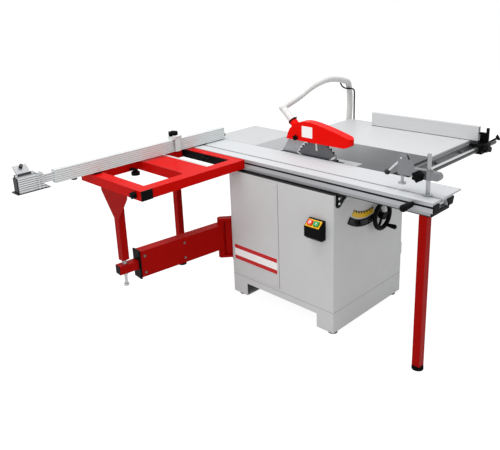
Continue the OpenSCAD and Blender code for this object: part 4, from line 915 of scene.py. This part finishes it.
@dataclass
class DustHose(Assembly):
    """Off-white hose from the guard's elbow over the hook to the dust port.

    Attributes:
        radius: Outer radius.
        ring: Points round the hose.
        steps: Parts between two route points.
        crest: Number of the route point just past the hook, where the stretch along the guard ends.
        route: Points chosen along the hose.
    """

    radius: float = 20.0
    ring: int = 32
    steps: int = 12
    crest: int = 7
    route: tuple[Point, ...] = (
        (45, 260, 1108), (190, 290, 1131), (350, 324, 1164), (530, 362, 1178), (680, 394, 1164), (790, 417, 1140),
        (875, 438, 1114), (940, 472, 1066), (964, 482, 985), (968, 486, 900), (962, 494, 790), (938, 518, 660),
        (880, 555, 530), (780, 580, 420), (640, 585, 340), (490, 560, 285), (340, 515, 258), (200, 466, 250),
        (110, 446, 250), (50, 446, 250))

    def build(self) -> None:
        """Makes the stretch that follows the guard and the stretch that hangs from the hook."""
        whole = smooth_path(self.place.array(np.array(self.route, float)), self.steps)
        cut = self.crest * self.steps
        self.stretch("hose_upper", whole[: cut + 1])
        self.stretch("hose_lower", whole[cut:])

    def stretch(self, name: str, path: np.ndarray) -> None:
        """Args:
            name: Name of the piece.
            path: Points in metres.
        """
        side, up = frames_along(path)
        rings = path[:, None, :] + self.radius * MM * unit_ring(side[:, None, :], up[:, None, :], self.ring)
        made = ring_piece(name, rings, self.palette.get("hose_white"), smooth=True)
        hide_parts("dust_hose")
        if name == "hose_upper":
            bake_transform(made)
        else:
            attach(made, Body.BASE.value)


@dataclass
class CabinetTrim(Assembly):
    """Bare plate, tilt scale and bolts on the cabinet.

    Attributes:
        wall_x: Left wall of the cabinet.
        front_y: Front wall of the cabinet.
        pivot_z: Height of the tilt axis.
        scale_radii: Inner and outer radius of the tilt scale.
        scale_turn: Its first and last angle below the tilt axis in degrees.
        bolts: Places of the bracket's bolts along x and z.
    """

    wall_x: float = -290.0
    front_y: float = -330.0
    pivot_z: float = 850.0
    scale_radii: Pair = (228.0, 262.0)
    scale_turn: Pair = (-32.0, 12.0)
    bolts: tuple[Pair, ...] = ((-262.0, 758.0), (-200.0, 740.0), (-262.0, 732.0))

    def build(self) -> None:
        """Makes every piece."""
        pieces = [*self.name_plate(), *self.tilt_scale(), *self.bracket_bolts()]
        for piece in pieces:
            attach(piece, Body.BASE.value)

    def name_plate(self) -> list[Piece]:
        """White plate on the side cover with two plain red bands.

        Returns:
            The plate and its bands.
        """
        y, z, wide, high, thick, corner = 222.5, 278.0, 335.0, 92.0, 1.2, 3.0
        inset, band, band_thick, band_corner = 1.0, 24.0, 0.4, 2.0
        pieces = [self.plate("name_plate", (self.wall_x, y, z), FRONT, Z_AXIS, (wide, high, thick), corner,
                             "label_white")]
        for name, side in (("name_band_top", 1), ("name_band_bottom", -1)):
            at = (self.wall_x - thick, y, z + side * (high - band) / 2)
            pieces.append(self.plate(name, at, FRONT, Z_AXIS, (wide - inset, band, band_thick), band_corner,
                                     "label_red"))
        return pieces

    def arc_plate(self, name: str, angles: np.ndarray, radii: np.ndarray, lift: float, thick: float,
                  finish: str) -> Piece:
        """Sector on the front wall: each point is radius r at angle a below the tilt axis.

        Args:
            name: Name of the piece.
            angles: Angles in degrees, one row each.
            radii: Two radii for each angle.
            lift: Distance of the middle of the sheet in front of the wall.
            thick: Thickness.
            finish: Key in FINISHES.

        Returns:
            The object.
        """
        turn = np.radians(angles)[:, None]
        grid = np.stack([radii * np.sin(turn), np.full(radii.shape, self.front_y - lift),
                         self.pivot_z - radii * np.cos(turn)], -1)
        made = mesh_piece(name, self.place.array(grid), grid_faces(len(angles), 2, False), self.palette.get(finish))
        wall = made.modifiers.new("sheet", "SOLIDIFY")
        wall.thickness = thick * MM
        wall.offset = 0.0
        return made

    def tilt_scale(self) -> list[Piece]:
        """Yellow sector above the handwheel slot, with dark teeth on its upper edge.

        Returns:
            The plate and its printed edge.
        """
        rows, lift, thick, print_lift, print_thick = 89, 2.0, 2.0, 3.2, 0.4
        pitch, low, rise, taper = 6.0, 3.0, 13.0, 1.5
        inner = self.scale_radii[0]
        angles = np.linspace(*self.scale_turn, rows)
        plain = np.broadcast_to(self.scale_radii, (rows, 2))
        plate = self.arc_plate("tilt_scale", angles, plain, lift, thick, "tilt_yellow")
        tooth = np.abs((angles - self.scale_turn[0]) % pitch - pitch / 2) / (pitch / 2)
        edge = np.stack([np.full(rows, inner), inner + low + rise * tooth**taper], -1)
        marks = self.arc_plate("tilt_scale_marks", angles, edge, print_lift, print_thick, "line_colour")
        return [plate, marks]

    def bracket_bolts(self) -> list[Piece]:
        """Zinc bolt heads on the front rail bracket.

        Returns:
            The bolts.
        """
        head = ((7.5, 0.0), (7.5, 4.0), (6.0, 5.2), (2.5, 5.6))
        bracket_thick = 10.0
        front = self.front_y - bracket_thick
        return [self.turned(f"bracket_bolt_{i}", (x, front, z), FRONT, head, "zinc")
                for i, (x, z) in enumerate(self.bolts)]


@dataclass
class HingeTrim(Assembly):
    """Thin red shield on the swing arm's bracket, behind the hinge barrel.

    Attributes:
        along: Unit vector of the bracket's web, from the hinge to the cabinet.
        behind: Distance of the shield behind the hinge axis.
        reach: Distances along the web between which it lies.
        heights: Lower and upper edge.
    """

    along: Point = (0.695, -0.719, 0.0)
    behind: float = 21.0
    reach: Pair = (12.0, 40.0)
    heights: Pair = (243.0, 461.0)

    def build(self) -> None:
        """Makes the shield."""
        thick, corner = 2.0, 1.0
        along = np.array(self.along)
        hinge = np.array((*ARM_HINGE, sum(self.heights) / 2))
        centre = hinge + along * (sum(self.reach) / 2) + np.cross(Z_AXIS, along) * self.behind
        size = (self.reach[1] - self.reach[0], self.heights[1] - self.heights[0], thick)
        shield = self.plate("hinge_shield", tuple(centre), tuple(-along), Z_AXIS, size, corner, "red_paint")
        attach(shield, Body.BASE.value)


@dataclass
class SwitchMarks(Assembly):
    """Plain on and off signs on the two buttons: an upright stroke and a ring.

    Attributes:
        middle: Middle of the sloping face.
        rise: Unit vector up the sloping face.
        pitch: Distance between the buttons.
        top: Height of the buttons' faces above the sloping face.
    """

    middle: Point = (-323.0, -232.0, 616.0)
    rise: Point = (0.745, 0.0, 0.667)
    pitch: float = 40.0
    top: float = 13.0

    def build(self) -> None:
        """Makes both signs and lets each ride on its own button."""
        stroke_size, stroke_corner = (3.2, 13.0, 0.3), 0.8
        ring_section = ((5.2, 0.0), (7.6, 0.0), (7.6, 0.3), (5.2, 0.3), (5.2, 0.0))
        out = np.array([-self.rise[2], 0.0, self.rise[0]])
        face = np.array(self.middle) + self.top * out
        half = self.pitch / 2 * np.array(Y_AXIS)
        stroke = self.plate("start_sign", tuple(face - half), FRONT, self.rise, stroke_size, stroke_corner,
                            "label_white")
        ring = self.turned("stop_sign", tuple(face + half), tuple(out), ring_section, "label_white")
        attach(stroke, Body.START.value)
        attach(ring, Body.STOP.value)


@dataclass
class GuardTrim(Assembly):
    """Bare patch and hose clip on the blade guard.

    Attributes:
        patch_at: Middle of the patch on the guard's left face.
        patch_size: Its width, height and thickness.
        spigot: Start of the hose spigot's axis.
        spigot_way: Direction of that axis.
        spigot_r: Outer radius of the spigot.
        clip: Rise over the spigot and place along it of each ring of the clip.
        screw: Radius and height of each ring of the clip's screw.
    """

    patch_at: Point = (-28.0, 52.0, 990.0)
    patch_size: Point = (74.0, 62.0, 0.8)
    spigot: Point = (0.0, 150.0, 1008.0)
    spigot_way: Point = (0.0, 100.0, 92.0)
    spigot_r: float = 23.0
    clip: tuple[Pair, ...] = ((-1.0, 33.0), (1.6, 33.0), (2.0, 34.0), (2.0, 41.0), (1.6, 42.0), (-1.0, 42.0))
    screw: tuple[Pair, ...] = (
        (3.0, 0.0), (4.6, 1.0), (4.6, 5.0), (2.6, 5.6), (2.6, 17.0), (3.6, 17.5), (3.6, 20.0))

    def build(self) -> None:
        """Makes the patch and the clip."""
        patch_corner, clip_count = 4.0, 48
        screw_along, screw_rise, screw_half, screw_up = 37.5, 4.5, 9.0, (0.0, -0.677, 0.736)
        patch = self.plate("guard_patch", self.patch_at, FRONT, Z_AXIS, self.patch_size, patch_corner, "label_white")
        rings = tuple((self.spigot_r + rise, along) for rise, along in self.clip)
        band = self.turned("hose_clip", self.spigot, self.spigot_way, rings, "black_metal", clip_count)
        way = np.array(self.spigot_way) / np.linalg.norm(self.spigot_way)
        middle = np.array(self.spigot) + screw_along * way + np.array(screw_up) * (self.spigot_r + screw_rise)
        at = tuple(middle - screw_half * np.array(X_AXIS))
        screw = self.turned("hose_clip_screw", at, X_AXIS, self.screw, "black_metal")
        for piece in (patch, band, screw):
            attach(piece, Body.TILT.value)


@dataclass
class TableTrim(Assembly):
    """Light strip along the outrigger's panel.

    Attributes:
        low: Lowest corner of the strip.
        high: Highest corner of the strip.
    """

    low: Point = (-490.0, 352.0, 838.0)
    high: Point = (-468.0, 790.0, 845.0)

    def build(self) -> None:
        """Makes the strip."""
        corner = 2.0
        size = np.subtract(self.high, self.low)
        middle = np.array(self.low) + size * (0.5, 0.5, 0.0)
        strip = self.plate("panel_strip", tuple(middle), X_AXIS, Y_AXIS, tuple(size), corner, "sheet_grey")
        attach(strip, Body.TABLE.value)


@dataclass(frozen=True)
class Lamp:
    """Soft area lamp.

    Attributes:
        name: Name of the lamp.
        at: Place.
        look: Point that it faces.
        size: Side length in metres.
        power: Power in watts.
    """

    name: str
    at: Point
    look: Point
    size: float
    power: float


@dataclass
class Studio:
    """Camera, lamps and the white ground of a cut-out product photo.

    Attributes:
        place: Frame placement.
        eye: Place of the camera.
        angles: Heading from y towards x, pitch down and roll in degrees.
        sensor: Width of the sensor.
        lens: Focal length.
        shift: Upright shift of the sensor.
        view_end: Farthest seen distance in metres.
        light_level: Strength of the surroundings as light, where the eye sees them as 1.
        ground_half: Half the side of the ground.
        ground_colour: sRGB colour that takes the shadow.
        ground_share: Share of plain white that the eye sees on the ground.
        ground_white: Strength of that white.
        lamps: The lamps.
    """

    place: Place
    eye: Point = (-2521.8, -2018.7, 1758.9)
    angles: Point = (44.631, 17.232, -2.224)
    sensor: float = 36.0
    lens: float = 43.61
    shift: float = -0.10
    view_end: float = 50.0
    light_level: float = 0.58
    ground_half: float = 9000.0
    ground_colour: str = "#D2D2D2"
    ground_share: float = 0.7
    ground_white: float = 1.34
    lamps: tuple[Lamp, ...] = (
        Lamp("top_box", (-500, 500, 3900), (-200, 100, 800), 2.6, 100.0),
        Lamp("left_box", (-3600, -900, 2900), (-200, 0, 600), 2.4, 36.0),
        Lamp("front_box", (-600, -4200, 2300), (100, 0, 600), 2.2, 16.0))

    def camera(self) -> None:
        """Sets the camera as solved from the photo: place, heading, pitch and roll."""
        heading, pitch, roll = (math.radians(a) for a in self.angles)
        forward = Vector((math.sin(heading) * math.cos(pitch), math.cos(heading) * math.cos(pitch), -math.sin(pitch)))
        level = Vector((math.cos(heading), -math.sin(heading), 0.0))
        upright = level.cross(forward)
        right = level * math.cos(roll) + upright * math.sin(roll)
        up = right.cross(forward)
        turn = Matrix((right, up, -forward)).transposed()
        data = bpy.data.cameras.new("photo_camera")
        data.sensor_width = self.sensor
        data.lens = self.lens
        data.shift_y = self.shift
        data.clip_end = self.view_end
        made = bpy.data.objects.new("photo_camera", data)
        made.matrix_world = Matrix.Translation(self.place.point(self.eye)) @ turn.to_4x4()
        bpy.context.scene.collection.objects.link(made)
        bpy.context.scene.camera = made

    def hang(self, lamp: Lamp) -> None:
        """Adds one lamp.

        Args:
            lamp: The lamp.
        """
        data = bpy.data.lights.new(lamp.name, "AREA")
        data.size = lamp.size
        data.energy = lamp.power
        made = bpy.data.objects.new(lamp.name, data)
        start, end = self.place.point(lamp.at), self.place.point(lamp.look)
        made.location = start
        made.rotation_mode = "QUATERNION"
        made.rotation_quaternion = (end - start).to_track_quat("-Z", "Y")
        bpy.context.scene.collection.objects.link(made)

    @staticmethod
    def seen(tree: Tree) -> Socket:
        """Tells the rays that see the background from those that only carry light.

        Args:
            tree: Node tree of the world or the ground.

        Returns:
            1 for camera, glossy and transmission rays.
        """
        path = add_node(tree, "ShaderNodeLightPath").outputs
        pair = add_math(tree, "MAXIMUM", path["Is Camera Ray"], path["Is Glossy Ray"])
        return add_math(tree, "MAXIMUM", pair, path["Is Transmission Ray"])

    def world(self) -> None:
        """White to the eye and a softer grey as light."""
        made = bpy.data.worlds.new("white_studio")
        made.use_nodes = True
        tree = made.node_tree
        tree.nodes.clear()
        level = add_node(tree, "ShaderNodeMapRange", {
            "Value": self.seen(tree), "To Min": self.light_level, "To Max": 1.0})
        back = add_node(tree, "ShaderNodeBackground", {
            "Color": linear("#FFFFFF"), "Strength": level.outputs["Result"]})
        add_node(tree, "ShaderNodeOutputWorld", {"Surface": back.outputs["Background"]})
        bpy.context.scene.world = made

    def floor(self) -> None:
        """Ground that is white to the eye but for a faint shadow."""
        made_of = bpy.data.materials.new("white ground")
        made_of.use_nodes = True
        tree = made_of.node_tree
        tree.nodes.clear()
        share = add_math(tree, "MULTIPLY", self.seen(tree), self.ground_share)
        dull = add_node(tree, "ShaderNodeBsdfDiffuse", {"Color": linear(self.ground_colour)})
        white = add_node(tree, "ShaderNodeEmission", {"Color": linear("#FFFFFF"), "Strength": self.ground_white})
        mixed = add_node(tree, "ShaderNodeMixShader", {
            0: share, 1: dull.outputs["BSDF"], 2: white.outputs["Emission"]})
        add_node(tree, "ShaderNodeOutputMaterial", {"Surface": mixed.outputs["Shader"]})
        corners = self.ground_half * np.array([(-1, -1, 0), (1, -1, 0), (1, 1, 0), (-1, 1, 0)])
        ground = mesh_piece("ground", self.place.array(corners), np.array([[0, 1, 2, 3]]), made_of)

    def build(self) -> None:
        """Sets the whole studio up."""
        self.camera()
        self.world()
        self.floor()
        for lamp in self.lamps:
            self.hang(lamp)
        bpy.context.scene.view_settings.view_transform = "Standard"


class Saw:
    """The whole machine: the frame's nodes with their finishes, and the extra pieces."""

    def __init__(self, frame: dict) -> None:
        """Keeps the frame.
        """
        self.frame = frame
        self.place = Place()
        self.palette = Palette(self.place)

    def dress(self) -> None:
        """Gives every node its own finish, or else the finish of its slot."""
        for part in self.frame["record"]["subparts"]:
            name = part["node"]
            material = self.palette.get(NODE_FINISHES.get(name, part["material_slot"]))
            node = self.frame["nodes"][name]
            node.data.materials.clear()
            node.data.materials.append(material)
            LOG.info("node %s: %s", name, material.name)

    def build(self) -> None:
        """Dresses the nodes and adds the extra pieces."""
        self.dress()
        for kind in (DustHose, CabinetTrim, HingeTrim, SwitchMarks, GuardTrim, TableTrim):
            kind(self.place, self.palette).build()


def main() -> None:
    """Builds the scene."""
    logging.basicConfig(level=logging.INFO, format="%(name)s: %(message)s")
    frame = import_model()
    saw = Saw(frame)
    saw.build()
    Studio(saw.place).build()
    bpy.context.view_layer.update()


if __name__ == "__main__":
    main()
